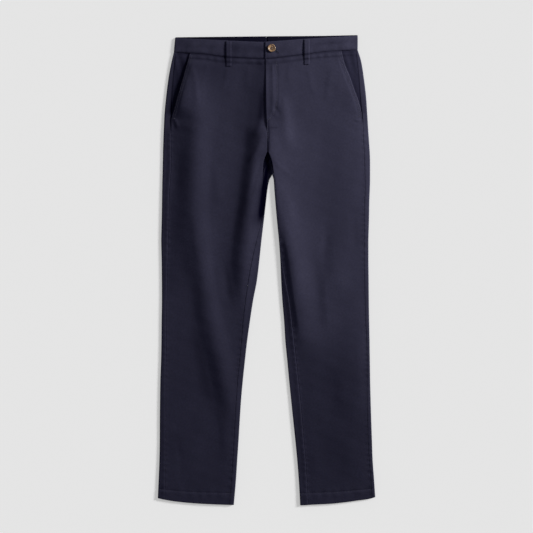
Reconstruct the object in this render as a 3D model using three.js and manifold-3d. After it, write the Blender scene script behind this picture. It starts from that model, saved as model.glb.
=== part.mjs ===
// A pair of slim chino trousers laid flat on their back, waist towards +Y.
// Millimetres, +Z up, the floor at z = 0. The wearer's right side is at -X.
import * as THREE from "three";
import { mergeVertices } from "three/addons/utils/BufferGeometryUtils.js";
import Module from "manifold-3d";

const wasm = await Module();
wasm.setup();

// Cloth walls and clearances
const CLOTH = 1.2;
const HEM_WALL = 2.2;
const BAND_WALL = 1.8;
const SEAM_GAP = 0.3;

// Levels down the length, measured at the middle of a panel
const WAIST_Y = 487.7;
const FLY_END_Y = 345;
const CROTCH_Y = 273.4;
const FORK_Y = 220.9;
const HEM_Y = -533.7;
const HEM_DEPTH = 27.2;

// How far the bends of the waist seam and of the hems reach into the legs
const BEND_REACH = 137;

// Back loops lie under the band, so the cloth above them is lifted by this much
const LOOP_LIFT = 1.5;
const LIFT_START_Y = 438;
const LIFT_END_Y = 470;

// Below the crotch a front's inner edge moves, between these levels, from its seam to the
// start of the inner fold's turn.
const INNER_EDGE_START_Y = 110.9;
const INNER_EDGE_END_Y = 60.9;

// Beside the pocket the back's strip on the front lies low; below it, it comes up flush.
const STRIP_LOW_Y = 342;
const STRIP_FLUSH_Y = 308;

// Belt loops: a front one bows away from the band as far as this part of its length
const LOOP_WIDTH = 12.5;
const LOOP_WALL = 1.2;
const LOOP_LENGTH = 57;
const LOOP_STEPS = 10;
const LOOP_ARCH = 2;
const LOOP_ARCH_PART = 0.82;
const LOOP_ARCH_POWER = 0.7;
const FRONT_LOOP_X = [-86.4, 91.4];
const BACK_LOOP_X = [-104, 0.3, 104];
const FRONT_LOOP_INSET = 1.5;
const BACK_LOOP_INSET = 2;

// Fly underlap and pocket facings, which both end at the same level
const FACING_END_Y = 352;
const FACING_STEPS = 6;
const FACING_UNDER = 15;
const FLY_SHIELD_X = -2.3;
const FLY_SHIELD_WIDTH = 38;
const FLY_SHIELD_TOP_Z = 5.1;
const FLY_SHIELD_STEPS = 4;

// Waistband: its ends at the middle of the back and at the fly, and how far out its side
// folds lie at the upper edge and at the seam
const BAND_OVERLAP_END_X = -3.2;
const BAND_BACK_END_X = { right: 0, left: 0.5 };
const RIGHT_BAND_FOLD = { top: -208.4, low: -211.4 };
const LEFT_BAND_FOLD = { top: 207.6, low: 207.6 };
const BAND_FLARE_START_X = 190;
const BAND_FLARE_END_X = 207;

// Button and buttonhole
const BUTTON_AT = [11.4, 505];
const BUTTON_RADIUS = 9;
const BUTTON_HEIGHT = 2.8;
const BUTTON_HOLE_RADIUS = 0.95;
const BUTTON_HOLE_OFFSET = 1.75;
const BUTTON_HOLE_DEPTH = 8;
const BUTTON_SIDES = 32;
const THREAD_SIDES = 12;
const SHANK_RADIUS = 0.9;
const SLIT_LENGTH = 20;
const SLIT_WIDTH = 2.4;
const SLIT_DEPTH = 4;
const SLIT_ANGLE = -0.54;
const SLIT_REACH = 7;

// Turns rows of numbers into columns by name, in rising order of the first column.
function table(columns, rows) {
  const ordered = [...rows].sort((a, b) => a[0] - b[0]);
  return Object.fromEntries(columns.map((name, i) => [name, ordered.map((row) => row[i])]));
}

// Outline of each leg by level. The back panel turns round both folds and comes a little way
// onto the front, so the seams lie inside the folds. Above the crotch the inner columns are
// the centre lines of front and back.
const OUTLINE_COLUMNS = ["y", "outerFold", "outseam", "inseam", "innerFold"];
const RIGHT_OUTLINE = table(OUTLINE_COLUMNS, [
  [487.7, -211.4, -207.5, 0.7, 0],
  [464.9, -217.3, -210.9, 0.9, 0],
  [433, -223.7, -213.6, 1.2, 0.2],
  [387.4, -229.6, -215.9, 1.6, 0.5],
  [350, -233, -218, 2.8, 0.8],
  [341, -233.4, -218.2, -0.3, 0.9],
  [309.9, -234.8, -218.4, 0.9, 2.1],
  [290, -235.4, -218.2, 1.5, 3],
  [273.4, -236, -218, 2.1, 3.9],
  [259.7, -236.2, -217.7, -3, 6.4],
  [243.7, -236.7, -217.7, -7.5, 8.9],
  [220.9, -237.1, -218.7, -8.7, 11.4],
  [205, -237.6, -219.8, -8.9, 5.9],
  [182.2, -238, -221.4, -8.9, 1.8],
  [159.4, -238.3, -222.8, -8.9, -0.9],
  [132, -238.7, -223.2, -9.8, -4.1],
  [100.1, -239.4, -223.7, -15, -7.8],
  [68.2, -240.1, -224.8, -23, -11.6],
  [22.6, -239.2, -225.5, -33.5, -16.4],
  [-23, -238.7, -226.6, -42.2, -21.9],
  [-68.6, -238.5, -227.8, -48.8, -30.6],
  [-114.2, -239.2, -229.4, -54.5, -37.6],
  [-159.8, -239.6, -228.5, -58.1, -44],
  [-205.4, -240.5, -229.6, -62.2, -49.2],
  [-251, -242.1, -230.1, -66.8, -54],
  [-296.6, -242.8, -230.1, -69.8, -58.1],
  [-342.2, -243.3, -230.1, -72.7, -61.1],
  [-387.8, -243.5, -230.1, -75.2, -63.8],
  [-433.4, -244.2, -230.1, -78, -66.8],
  [-479, -245.8, -230.5, -80.9, -69.8],
  [-533.7, -247.8, -231.9, -85.5, -74.6],
]);
const LEFT_OUTLINE = table(OUTLINE_COLUMNS, [
  [487.7, 207.5, 204.1, -2.3, 0.5],
  [464.9, 215.7, 206.1, -2.1, 0.5],
  [433, 221.6, 210.4, -1.8, 0.7],
  [387.4, 227.3, 213.6, -1.4, 0.9],
  [344.1, 230.1, 219.1, 0, 1.4],
  [309.9, 232.3, 219.6, 1.4, 2.5],
  [273.4, 234.8, 221.6, 2.7, 4.3],
  [259.7, 235.5, 222.1, 8.4, 6.8],
  [243.7, 235.8, 222.8, 13, 9.3],
  [220.9, 235.8, 223.4, 16.2, 12.1],
  [205, 235.8, 223.7, 19.4, 16.2],
  [182.2, 235.1, 223.7, 21, 17.8],
  [159.4, 234.2, 222.8, 22.8, 19.6],
  [132, 233.7, 221.6, 25.1, 21.9],
  [100.1, 233, 221.4, 28, 24.9],
  [68.2, 232.1, 221.4, 31.5, 28],
  [22.6, 232.1, 221.4, 35.8, 31.2],
  [-23, 232.6, 222.5, 43.3, 33.1],
  [-68.6, 233, 223.7, 51.5, 35.8],
  [-114.2, 233.7, 224.8, 57.2, 39.7],
  [-159.8, 234.6, 227.5, 62.5, 42.6],
  [-205.4, 235.3, 228.2, 67.5, 47],
  [-251, 236, 228.2, 72.3, 51.3],
  [-296.6, 237.1, 228.2, 77.1, 55.9],
  [-342.2, 238.5, 229.4, 81.2, 60.6],
  [-387.8, 240.1, 230.5, 85, 65.4],
  [-433.4, 241.7, 232.8, 89.1, 69.8],
  [-479, 244.6, 236.2, 91.7, 73.4],
  [-533.7, 247.6, 239.4, 94.8, 76.6],
]);

// Height of the cloth's upper face across each leg, from the outer fold to the inner one.
// Each fold is a place across the leg and the height there.
const FOLD_COLUMNS = [
  "y", "outerZ", "shoulderX", "shoulderZ", "ridgeX", "ridgeZ", "footX", "footZ",
  "troughX", "troughZ", "innerRidgeX", "innerRidgeZ", "innerZ",
];
const RIGHT_FOLDS = table(FOLD_COLUMNS, [
  [487.7, 4.9, -174.6, 5.8, -159.4, 5.9, -118.3, 5.3, -72.7, 4.8, -31.7, 5, 5.1],
  [464.9, 4.6, -181.3, 6, -163.9, 6.1, -118.3, 5.2, -72.7, 4.7, -31.7, 5, 5.1],
  [433, 4.3, -190.8, 6.2, -168.5, 6.2, -118.3, 4.9, -68.2, 4.4, -27.1, 5, 5.1],
  [387.4, 4.2, -204.3, 6.1, -166.2, 6.3, -118.3, 4.6, -63.6, 4.1, -18, 5, 5.1],
  [341, 4.2, -213.2, 5.1, -163.9, 6.3, -116.1, 4.3, -59.1, 3.9, -13.5, 5.1, 5.1],
  [309.9, 4.2, -195.9, 5.1, -163.9, 6.3, -116.1, 4.1, -59.1, 3.8, -15.7, 6.2, 6.2],
  [273.4, 4.2, -195.9, 5.1, -163.9, 6.3, -116.1, 3.9, -63.6, 3.6, -22.6, 6.3, 5.6],
  [243.7, 4.2, -195.9, 5.1, -163.9, 6.3, -116.1, 3.8, -70.5, 3.4, -27.1, 6.2, 3.4],
  [205, 4.2, -195.9, 5.1, -162.8, 6.3, -116.1, 3.7, -77.3, 3.3, -31.7, 6.2, 2.8],
  [159.4, 4.2, -195.9, 5.1, -162.8, 6.3, -116.1, 3.6, -81.9, 3.3, -36.3, 6.2, 2.8],
  [113.8, 4.2, -193.6, 5, -160.5, 6.3, -113.8, 3.5, -88.7, 3.3, -43.1, 6.2, 3.1],
  [68.2, 4.2, -189, 4.8, -157.1, 6.3, -109.2, 3.4, -95.5, 3.3, -49.9, 6.1, 3.8],
  [22.6, 4.2, -182.2, 4.6, -152.5, 6.3, -106.9, 3.4, -97.8, 3.4, -52.2, 5.9, 4.1],
  [-23, 4.2, -177.6, 4.4, -145.7, 6.3, -102.4, 3.4, -93.3, 3.4, -52.2, 5.5, 4.1],
  [-68.6, 4.2, -170.8, 4.2, -138.9, 6.3, -95.5, 3.5, -86.4, 3.5, -52.2, 4.9, 4.1],
  [-114.2, 4.2, -163.9, 4, -129.7, 6.3, -86.4, 3.7, -77.3, 3.7, -54.5, 4.5, 4.1],
  [-159.8, 4.2, -157.1, 3.8, -119.5, 6.2, -77.3, 3.9, -70.5, 3.9, -56.8, 4.2, 4.1],
  [-205.4, 4.2, -148, 3.7, -106.9, 6.1, -72.7, 4.2, -65.9, 4.1, -57.9, 4.1, 4.1],
  [-251, 4.2, -138.9, 3.7, -95.5, 6, -75, 4.8, -68.2, 4.4, -62.5, 4.2, 4.1],
  [-296.6, 4.2, -129.7, 3.7, -86.4, 5.8, -75, 5.1, -69.3, 4.6, -64.8, 4.3, 4.1],
  [-342.2, 4.2, -120.6, 3.8, -84.1, 5.4, -76.2, 5.1, -71.6, 4.7, -67, 4.4, 4.2],
  [-387.8, 4.3, -118.3, 4, -86.4, 5, -78.4, 4.9, -73.9, 4.7, -70, 4.5, 4.3],
  [-433.4, 4.5, -120.6, 4.3, -88.7, 4.9, -81.9, 4.9, -77.3, 4.8, -73.2, 4.7, 4.5],
  [-479, 4.8, -122.9, 4.8, -100.1, 5, -88.7, 5, -83, 5, -77.3, 4.9, 4.8],
  [-533.7, 4.9, -150.3, 5.2, -127.5, 5.2, -109.2, 5.2, -95.5, 5.1, -84.1, 5, 4.9],
]);
const LEFT_FOLDS = table(FOLD_COLUMNS, [
  [487.7, 4.9, 170.1, 5.8, 155.3, 5.8, 127.9, 5.5, 77.7, 6, 20.7, 6.6, 6.6],
  [464.9, 4.6, 176.9, 5.7, 159.8, 5.7, 127.9, 5.3, 77.7, 5.9, 23, 6.5, 6.6],
  [433, 4.3, 190.6, 5.7, 173.5, 5.7, 127.9, 5, 77.7, 5.7, 27.6, 6.5, 6.7],
  [387.4, 4.2, 208.2, 5.7, 187.2, 5.5, 127.9, 4.8, 73.2, 5.4, 34.4, 6.3, 6.7],
  [344.1, 4.2, 214.5, 5.1, 187.2, 5.1, 132.5, 4.6, 73.2, 5.2, 39, 6.2, 6.7],
  [309.9, 4.2, 210, 4.8, 182.6, 4.9, 134.7, 4.5, 77.7, 5, 41.3, 6.3, 6.3],
  [273.4, 4.2, 207.7, 4.7, 178.1, 4.8, 134.7, 4.4, 82.3, 5, 41.3, 6.3, 6.2],
  [243.7, 4.2, 207.7, 4.7, 178.1, 4.7, 137, 4.3, 82.3, 5.1, 32.1, 6.3, 5.9],
  [205, 4.2, 205.4, 4.7, 175.8, 4.6, 139.3, 4.2, 82.3, 5, 29.9, 6.3, 5.6],
  [159.4, 4.2, 205.4, 4.7, 173.5, 4.5, 139.3, 4.1, 82.3, 4.9, 32.1, 6.3, 5.6],
  [113.8, 4.2, 203.1, 4.7, 168.9, 4.5, 137, 4, 84.6, 4.8, 36.7, 6.3, 5.6],
  [68.2, 4.2, 200.9, 4.6, 159.8, 4.6, 134.7, 3.9, 91.4, 4.8, 45.8, 6.3, 5.3],
  [22.6, 4.2, 198.6, 4.6, 155.3, 4.7, 130.2, 3.7, 100.5, 4.7, 54.9, 6.3, 4.6],
  [-23, 4.2, 198.6, 4.7, 155.3, 4.6, 132.5, 3.6, 102.8, 4.7, 59.5, 6.3, 4.2],
  [-68.6, 4.2, 196.3, 4.8, 159.8, 4.3, 137, 3.8, 105.1, 4.7, 65.2, 6.3, 4.1],
  [-114.2, 4.2, 196.3, 4.8, 164.4, 4.3, 139.3, 4.1, 107.4, 4.8, 72, 6.2, 4.1],
  [-150.7, 4.2, 198.6, 4.8, 168.9, 4.4, 141.6, 4.2, 111.9, 4.7, 78.9, 5.9, 4.1],
  [-187.2, 4.2, 200.9, 4.8, 171.2, 4.6, 141.6, 4.4, 111.9, 4.6, 77.7, 4.7, 4.1],
  [-223.7, 4.2, 203.1, 4.8, 175.8, 4.8, 143.9, 4.5, 114.2, 4.3, 82.3, 4.2, 4.1],
  [-273.8, 4.2, 205.4, 4.7, 178.1, 4.8, 148.4, 4.5, 118.8, 4.3, 86.9, 4.2, 4.1],
  [-342.2, 4.2, 210, 4.6, 182.6, 4.7, 153, 4.5, 123.3, 4.4, 91.4, 4.4, 4.2],
  [-433.4, 4.5, 214.5, 4.7, 187.2, 4.7, 159.8, 4.6, 130.2, 4.6, 98.3, 4.6, 4.5],
  [-533.7, 4.9, 221.4, 5.1, 191.7, 5.2, 164.4, 5.2, 134.7, 5.2, 105.1, 5.1, 4.9],
]);

// Slanted pocket mouths: where the front's cut edge lies and how high the facing is under it.
const POCKET_COLUMNS = ["y", "mouth", "facingZ"];
const RIGHT_POCKET = table(POCKET_COLUMNS, [
  [487.7, -174.6, 4.25],
  [464.9, -181.3, 4.2],
  [433, -190.8, 4.1],
  [405.6, -199, 4],
  [387.4, -204.3, 4],
  [360, -211.8, 3.8],
  [344.1, -217.2, 3.5],
]);
const LEFT_POCKET = table(POCKET_COLUMNS, [
  [487.7, 170.1, 4.25],
  [464.9, 176.9, 4.15],
  [433, 190.6, 4.1],
  [405.6, 200.9, 4.1],
  [387.4, 208.2, 4.1],
  [360, 216, 3.8],
  [344.1, 218.2, 3.5],
]);

// Waist seam and hem bend away from their level by this much across the garment.
const FRONT_WAIST = table(["x", "dy"], [
  [-211.8, 8], [-150.3, 4.6], [-93.3, -2.3], [-3.2, -6.8],
  [36.7, -3], [77.7, 2.3], [146.1, 10.3], [207.7, 13.7],
]);
const BACK_WAIST = table(["x", "dy"], [[-211.8, 8], [0.2, 9.6], [207.7, 13.5]]);
const HEM_BEND = table(["x", "dy"], [
  [-248.3, 14.8], [-233.5, 11.4], [-205, 6.8], [-154.8, 2.3], [-104.7, 0], [-75, -0.9],
  [76.6, -1.6], [107.4, 0], [150, 2.3], [171.2, 4.6], [189.5, 6.8], [204.7, 9.1],
  [223.7, 11.4], [236.2, 13.7], [247.6, 17.3],
]);

// Upper edges of the waistband and the height of its front.
const BAND_FRONT = table(["x", "top", "z"], [
  [-210, 528.7, 5.4], [-166, 526.4, 6.3], [-118, 524.2, 5.9], [-73, 522, 5.5],
  [-3.2, 519.6, 5.4], [40, 519.6, 5.4],
]);
const BAND_OVERLAP = table(["x", "top", "z"], [
  [-3.2, 519.6, 7.5], [39, 522.5, 7.4], [77.7, 525.6, 6.9],
  [127.9, 529, 6.1], [169, 531.6, 6.2], [204, 533.3, 5.4],
]);
const BAND_BACK = table(["x", "top"], [[-210, 530.3], [0, 532.6], [115, 533.5], [207.7, 535.4]]);

// Rows down a leg: from one level to the next in this many steps.
const ROW_SPANS = [
  [WAIST_Y, 464.9, 2], [464.9, 350, 5], [350, 341, 1], [341, CROTCH_Y, 4], [CROTCH_Y, FORK_Y, 4],
  [FORK_Y, 205, 1], [205, -433.4, 19], [-433.4, HEM_Y + HEM_DEPTH + 1, 2],
  [HEM_Y + HEM_DEPTH + 1, HEM_Y + HEM_DEPTH - 1, 1], [HEM_Y + HEM_DEPTH - 1, HEM_Y, 2],
];

// A smooth curve through the points (xs, ys) that never overshoots them.
function curve(xs, ys, x) {
  const last = xs.length - 1;
  if (x <= xs[0]) return ys[0];
  if (x >= xs[last]) return ys[last];
  let k = 0;
  while (x > xs[k + 1]) k += 1;
  const slope = (i) => (ys[i + 1] - ys[i]) / (xs[i + 1] - xs[i]);
  const tangent = (i) => {
    if (i === 0) return slope(0);
    if (i === last) return slope(last - 1);
    const before = slope(i - 1);
    const after = slope(i);
    return before * after > 0 ? (2 * before * after) / (before + after) : 0;
  };
  const width = xs[k + 1] - xs[k];
  const t = (x - xs[k]) / width;
  const t2 = t * t;
  const t3 = t2 * t;
  return (2 * t3 - 3 * t2 + 1) * ys[k] + (t3 - 2 * t2 + t) * width * tangent(k)
    + (3 * t2 - 2 * t3) * ys[k + 1] + (t3 - t2) * width * tangent(k + 1);
}

const at = (rows, column, y) => curve(rows.y ?? rows.x, rows[column], y);
const mix = (a, b, t) => a + (b - a) * t;

// Rises smoothly from 0 at `from` to 1 at `to`.
function ramp(value, from, to) {
  const t = Math.min(1, Math.max(0, (value - from) / (to - from)));
  return t * t * (3 - 2 * t);
}

function steps(from, to, count) {
  return Array.from({ length: count + 1 }, (_, i) => mix(from, to, i / count));
}

const lift = (y) => LOOP_LIFT * ramp(y, LIFT_START_Y, LIFT_END_Y);
const legWall = (y) => (y < HEM_Y + HEM_DEPTH ? HEM_WALL : CLOTH);

// Moves a point from its level to where the bent waist seam and hem put it.
function bend(x, y, waist) {
  const nearWaist = Math.max(0, 1 - (WAIST_Y - y) / BEND_REACH) ** 2;
  const nearHem = Math.max(0, 1 - (y - HEM_Y) / BEND_REACH) ** 2;
  return y + nearWaist * at(waist, "dy", x) + nearHem * at(HEM_BEND, "dy", x);
}

// The two legs: `out` points from the middle of the garment to the outer fold.
const RIGHT = { out: -1, outline: RIGHT_OUTLINE, folds: RIGHT_FOLDS, pocket: RIGHT_POCKET };
const LEFT = { out: 1, outline: LEFT_OUTLINE, folds: LEFT_FOLDS, pocket: LEFT_POCKET };

// Half the thickness of a leg at its outer and inner folds.
const outerRadius = (leg, y) => (at(leg.folds, "outerZ", y) - lift(y)) / 2;
const innerRadius = (leg, y) => (at(leg.folds, "innerZ", y) - lift(y)) / 2;

// The front's inner seam, which stays clear of the turn of the inner fold.
const SHORTEST_LIP = 0.5;
function inseamX(leg, y) {
  const seam = at(leg.outline, "inseam", y);
  if (y > FORK_Y) return seam;
  const fold = at(leg.outline, "innerFold", y);
  const clear = innerRadius(leg, y) + SHORTEST_LIP + SEAM_GAP;
  return fold + leg.out * Math.max(leg.out * (seam - fold), clear);
}

// Upper face of a leg's front at (x, y).
function topZ(leg, x, y) {
  const { out, folds, outline } = leg;
  const inseam = inseamX(leg, y);
  const innerFold = at(outline, "innerFold", y);
  const belowFork = ramp(y, INNER_EDGE_START_Y, INNER_EDGE_END_Y);
  const innerEdge = mix(inseam, innerFold + out * innerRadius(leg, y), belowFork);
  const places = [
    at(outline, "outerFold", y) - out * outerRadius(leg, y),
    ...["shoulderX", "ridgeX", "footX", "troughX", "innerRidgeX"].map((c) => at(folds, c, y)),
    innerEdge,
  ];
  const heights = ["outerZ", "shoulderZ", "ridgeZ", "footZ", "troughZ", "innerRidgeZ", "innerZ"]
    .map((c) => at(folds, c, y));
  if (out > 0) {
    places.reverse();
    heights.reverse();
  }
  return curve(places, heights, x);
}

// Height of the back panel's strip between the outer fold and the outseam: flat beside the
// pocket, then level with the front.
function lipZ(leg, x, y) {
  const flush = ramp(y, STRIP_LOW_Y, STRIP_FLUSH_Y);
  return mix(at(leg.folds, "outerZ", y), topZ(leg, x, y), flush);
}

const ROWS = ROW_SPANS.flatMap(([from, to, count], i) =>
  steps(from, to, count).slice(i === 0 ? 0 : 1));

// A closed wall between an outer and an inner grid of points, rows by columns. With both
// grids in the same order, the outer one seen from outside runs anticlockwise when
// `flip` is false.
function wall(outer, inner, flip) {
  const rows = outer.length;
  const columns = outer[0].length;
  const position = [...outer.flat(), ...inner.flat()].flat();
  const o = (r, c) => r * columns + c;
  const n = (r, c) => rows * columns + r * columns + c;
  const index = [];
  const quad = (a, b, c, d) => index.push(...(flip ? [a, c, b, a, d, c] : [a, b, c, a, c, d]));
  for (let r = 0; r < rows - 1; r += 1) {
    for (let c = 0; c < columns - 1; c += 1) {
      quad(o(r, c), o(r + 1, c), o(r + 1, c + 1), o(r, c + 1));
      quad(n(r, c), n(r, c + 1), n(r + 1, c + 1), n(r + 1, c));
    }
    quad(o(r, 0), n(r, 0), n(r + 1, 0), o(r + 1, 0));
    quad(o(r, columns - 1), o(r + 1, columns - 1), n(r + 1, columns - 1), n(r, columns - 1));
  }
  for (let c = 0; c < columns - 1; c += 1) {
    quad(o(0, c), o(0, c + 1), n(0, c + 1), n(0, c));
    quad(o(rows - 1, c), n(rows - 1, c), n(rows - 1, c + 1), o(rows - 1, c + 1));
  }
  const geometry = new THREE.BufferGeometry();
  geometry.setAttribute("position", new THREE.Float32BufferAttribute(position, 3));
  geometry.setIndex(index);
  return geometry;
}

// A front leg panel: one wall from its outer seam or pocket mouth to its inner seam.
const FRONT_COLUMNS = 18;
function frontLeg(leg) {
  const outer = [];
  const inner = [];
  for (const y of ROWS) {
    const seam = at(leg.outline, "outseam", y);
    const mouth = at(leg.pocket, "mouth", y);
    const start = y > FLY_END_Y ? mouth : seam - leg.out * SEAM_GAP;
    const xs = steps(start, inseamX(leg, y), FRONT_COLUMNS);
    const tops = xs.map((x) => [x, bend(x, y, FRONT_WAIST), topZ(leg, x, y)]);
    outer.push(tops);
    inner.push(tops.map(([x, yBent, z]) => [x, yBent, z - legWall(y)]));
  }
  return wall(outer, inner, leg.out > 0);
}

// A back leg panel as a section that starts at the outseam, turns under round the outer
// fold, lies flat on the floor, and below the crotch turns up round the inner fold to the
// inseam. Above the crotch it ends flat, this far past the middle, at the seat seam.
const SEAT_END = 0.6;
const LIP_STEPS = 2;
const TURN_STEPS = 4;
const FLOOR_STEPS = 4;
function backLeg(leg) {
  const outer = [];
  const inner = [];
  for (const y of ROWS) {
    const t = legWall(y);
    const floor = lift(y);
    const section = [];
    const place = (x, z, nx, nz, waist) => section.push({ x, z, nx, nz, waist });
    const r1 = outerRadius(leg, y);
    const c1 = at(leg.outline, "outerFold", y) - leg.out * r1;
    for (const x of steps(at(leg.outline, "outseam", y), c1, LIP_STEPS).slice(0, -1))
      place(x, lipZ(leg, x, y), 0, 1, FRONT_WAIST);
    for (const a of steps(Math.PI / 2, -Math.PI / 2, TURN_STEPS))
      place(c1 + leg.out * r1 * Math.cos(a), floor + r1 + r1 * Math.sin(a),
        leg.out * Math.cos(a), Math.sin(a), a > 0 ? FRONT_WAIST : BACK_WAIST);
    const r2 = innerRadius(leg, y);
    const fold = at(leg.outline, "innerFold", y);
    const seam = at(leg.outline, "inseam", y) - leg.out * SEAM_GAP;
    const turned = ramp(y, CROTCH_Y, FORK_Y);
    const lip = Math.max(SHORTEST_LIP, leg.out * (seam - fold) - r2);
    const length = SEAT_END + (Math.PI * r2 + lip - SEAT_END) * turned;
    const c2 = fold + leg.out * r2 * Math.sin(Math.min(length / r2, Math.PI / 2));
    for (const x of steps(c1, c2, FLOOR_STEPS).slice(1, -1)) place(x, floor, 0, -1, BACK_WAIST);
    const full = Math.PI * r2 + lip;
    const marks = [
      ...steps(0, Math.PI * r2, TURN_STEPS).slice(0, -1), ...steps(Math.PI * r2, full, LIP_STEPS),
    ];
    for (const mark of marks) {
      const s = (mark / full) * length;
      const a = Math.min(s / r2, Math.PI);
      const x = c2 - leg.out * (r2 * Math.sin(a) - Math.max(0, s - Math.PI * r2));
      const z = floor + r2 - r2 * Math.cos(a);
      const onFront = turned === 1 && s >= Math.PI * r2;
      place(x, onFront ? topZ(leg, x, y) : z, -leg.out * Math.sin(a), -Math.cos(a), BACK_WAIST);
    }
    outer.push(section.map((p) => [p.x, bend(p.x, y, p.waist), p.z]));
    inner.push(section.map((p) => [p.x - t * p.nx, bend(p.x, y, p.waist), p.z - t * p.nz]));
  }
  return wall(outer, inner, leg.out < 0);
}

// The strip of cloth behind a pocket mouth, from the outseam to a little way under the front.
function pocketFacing(leg) {
  const outer = [];
  const inner = [];
  for (const y of steps(WAIST_Y, FACING_END_Y, FACING_STEPS)) {
    const seam = at(leg.outline, "outseam", y) - leg.out * SEAM_GAP;
    const mouth = at(leg.pocket, "mouth", y);
    const under = mouth - leg.out * FACING_UNDER;
    const tops = [...steps(seam, mouth, 2), ...steps(mouth, under, 2).slice(1)].map((x) => {
      const t = Math.min(1, (x - seam) / (mouth - seam));
      const z = mix(at(leg.folds, "outerZ", y), at(leg.pocket, "facingZ", y), t);
      return [x, bend(x, y, FRONT_WAIST), z];
    });
    outer.push(tops);
    inner.push(tops.map(([x, yBent, z]) => [x, yBent, z - CLOTH]));
  }
  return wall(outer, inner, leg.out > 0);
}

// The underlap that the fly closes on, under the wearer's left front.
function flyShield() {
  const outer = [];
  const inner = [];
  for (const y of steps(WAIST_Y, FACING_END_Y, FACING_STEPS)) {
    const start = at(RIGHT_OUTLINE, "inseam", y) + SEAM_GAP;
    const end = at(LEFT_OUTLINE, "inseam", y) + FLY_SHIELD_WIDTH;
    const tops = steps(start, end, FLY_SHIELD_STEPS).map((x) => {
      const z = Math.min(FLY_SHIELD_TOP_Z, topZ(LEFT, x, y) - CLOTH - SEAM_GAP);
      return [x, bend(x, y, FRONT_WAIST), z];
    });
    outer.push(tops);
    inner.push(tops.map(([x, yBent, z]) => [x, yBent, z - CLOTH]));
  }
  return wall(outer, inner, false);
}

// Half of the waistband: from the middle of the back under to the side, round it, and over
// to the end of the front.
const BAND_FLOOR_STEPS = 6;
const BAND_FRONT_STEPS = 12;
function waistband(leg, front, backEnd, frontEnd, fold) {
  const outer = [];
  const inner = [];
  const sideZ = front.z.at(leg.out > 0 ? -1 : 0);
  const r = (sideZ - LOOP_LIFT) / 2;
  const centre = fold.top - leg.out * r;
  const seamY = (rows, x) => WAIST_Y + at(rows, "dy", x) + SEAM_GAP;
  const stations = [];
  for (const x of steps(backEnd, centre, BAND_FLOOR_STEPS).slice(0, -1))
    stations.push({ x, z: LOOP_LIFT, nx: 0, nz: -1, over: 0 });
  for (const a of steps(-Math.PI / 2, Math.PI / 2, TURN_STEPS))
    stations.push({
      x: centre + leg.out * r * Math.cos(a), z: LOOP_LIFT + r + r * Math.sin(a),
      nx: leg.out * Math.cos(a), nz: Math.sin(a), over: (1 + Math.sin(a)) / 2,
    });
  for (const x of steps(centre, frontEnd, BAND_FRONT_STEPS).slice(1))
    stations.push({ x, z: at(front, "z", x), nx: 0, nz: 1, over: 1 });
  for (const part of [0, 0.5, 1]) {
    const ring = stations.map(({ x, z, nx, nz, over }) => {
      const low = mix(seamY(BACK_WAIST, x), seamY(FRONT_WAIST, x), over);
      const high = mix(at(BAND_BACK, "top", x), at(front, "top", x), over);
      const flare = (fold.low - fold.top) * ramp(Math.abs(x), BAND_FLARE_START_X, BAND_FLARE_END_X);
      return { x: x + flare * (1 - part), y: mix(low, high, part), z, nx, nz };
    });
    outer.push(ring.map((p) => [p.x, p.y, p.z]));
    inner.push(ring.map((p) => [p.x - BAND_WALL * p.nx, p.y, p.z - BAND_WALL * p.nz]));
  }
  return wall(outer, inner, leg.out < 0);
}

// A belt loop as a flat strip along a path of [y, z] points that give its underside.
function beltLoop(x, path) {
  const edge = (dz) => path.map(([y, z]) => [
    [x - LOOP_WIDTH / 2, y, z + dz],
    [x + LOOP_WIDTH / 2, y, z + dz],
  ]);
  return wall(edge(LOOP_WALL), edge(0), false);
}

function frontLoop(x, leg, front) {
  const top = at(front, "top", x) - FRONT_LOOP_INSET;
  const seam = WAIST_Y + at(FRONT_WAIST, "dy", x);
  const path = steps(0, 1, LOOP_STEPS).map((t) => {
    const y = top - LOOP_LENGTH * t;
    const clothZ = (px) => (y > seam ? at(front, "z", px) : topZ(leg, px, y - seam + WAIST_Y));
    const under = [x - LOOP_WIDTH / 2, x, x + LOOP_WIDTH / 2].map(clothZ);
    const bow = Math.sin(Math.PI * Math.min(1, t / LOOP_ARCH_PART));
    const arch = LOOP_ARCH * Math.max(0, bow) ** LOOP_ARCH_POWER;
    return [y, Math.max(...under) + SEAM_GAP + arch];
  });
  return beltLoop(x, path);
}

function backLoop(x) {
  const top = at(BAND_BACK, "top", x) - BACK_LOOP_INSET;
  return beltLoop(x, steps(top, top - LOOP_LENGTH, 2).map((y) => [y, 0]));
}

// A thin upright cylinder, centred.
const rod = (radius, height) =>
  new THREE.CylinderGeometry(radius, radius, height, THREAD_SIDES).rotateX(Math.PI / 2);

// A closed shape ready for a boolean cut.
function solid(geometry) {
  const plain = geometry.clone();
  plain.deleteAttribute("normal");
  plain.deleteAttribute("uv");
  const merged = mergeVertices(plain, 1e-4);
  return new wasm.Manifold(new wasm.Mesh({
    numProp: 3,
    vertProperties: merged.attributes.position.array,
    triVerts: new Uint32Array(merged.index.array),
  }));
}

function shape(body) {
  const { vertProperties, triVerts } = body.getMesh();
  const geometry = new THREE.BufferGeometry();
  geometry.setAttribute("position", new THREE.BufferAttribute(vertProperties, 3));
  geometry.setIndex(new THREE.BufferAttribute(triVerts, 1));
  return geometry;
}

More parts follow.
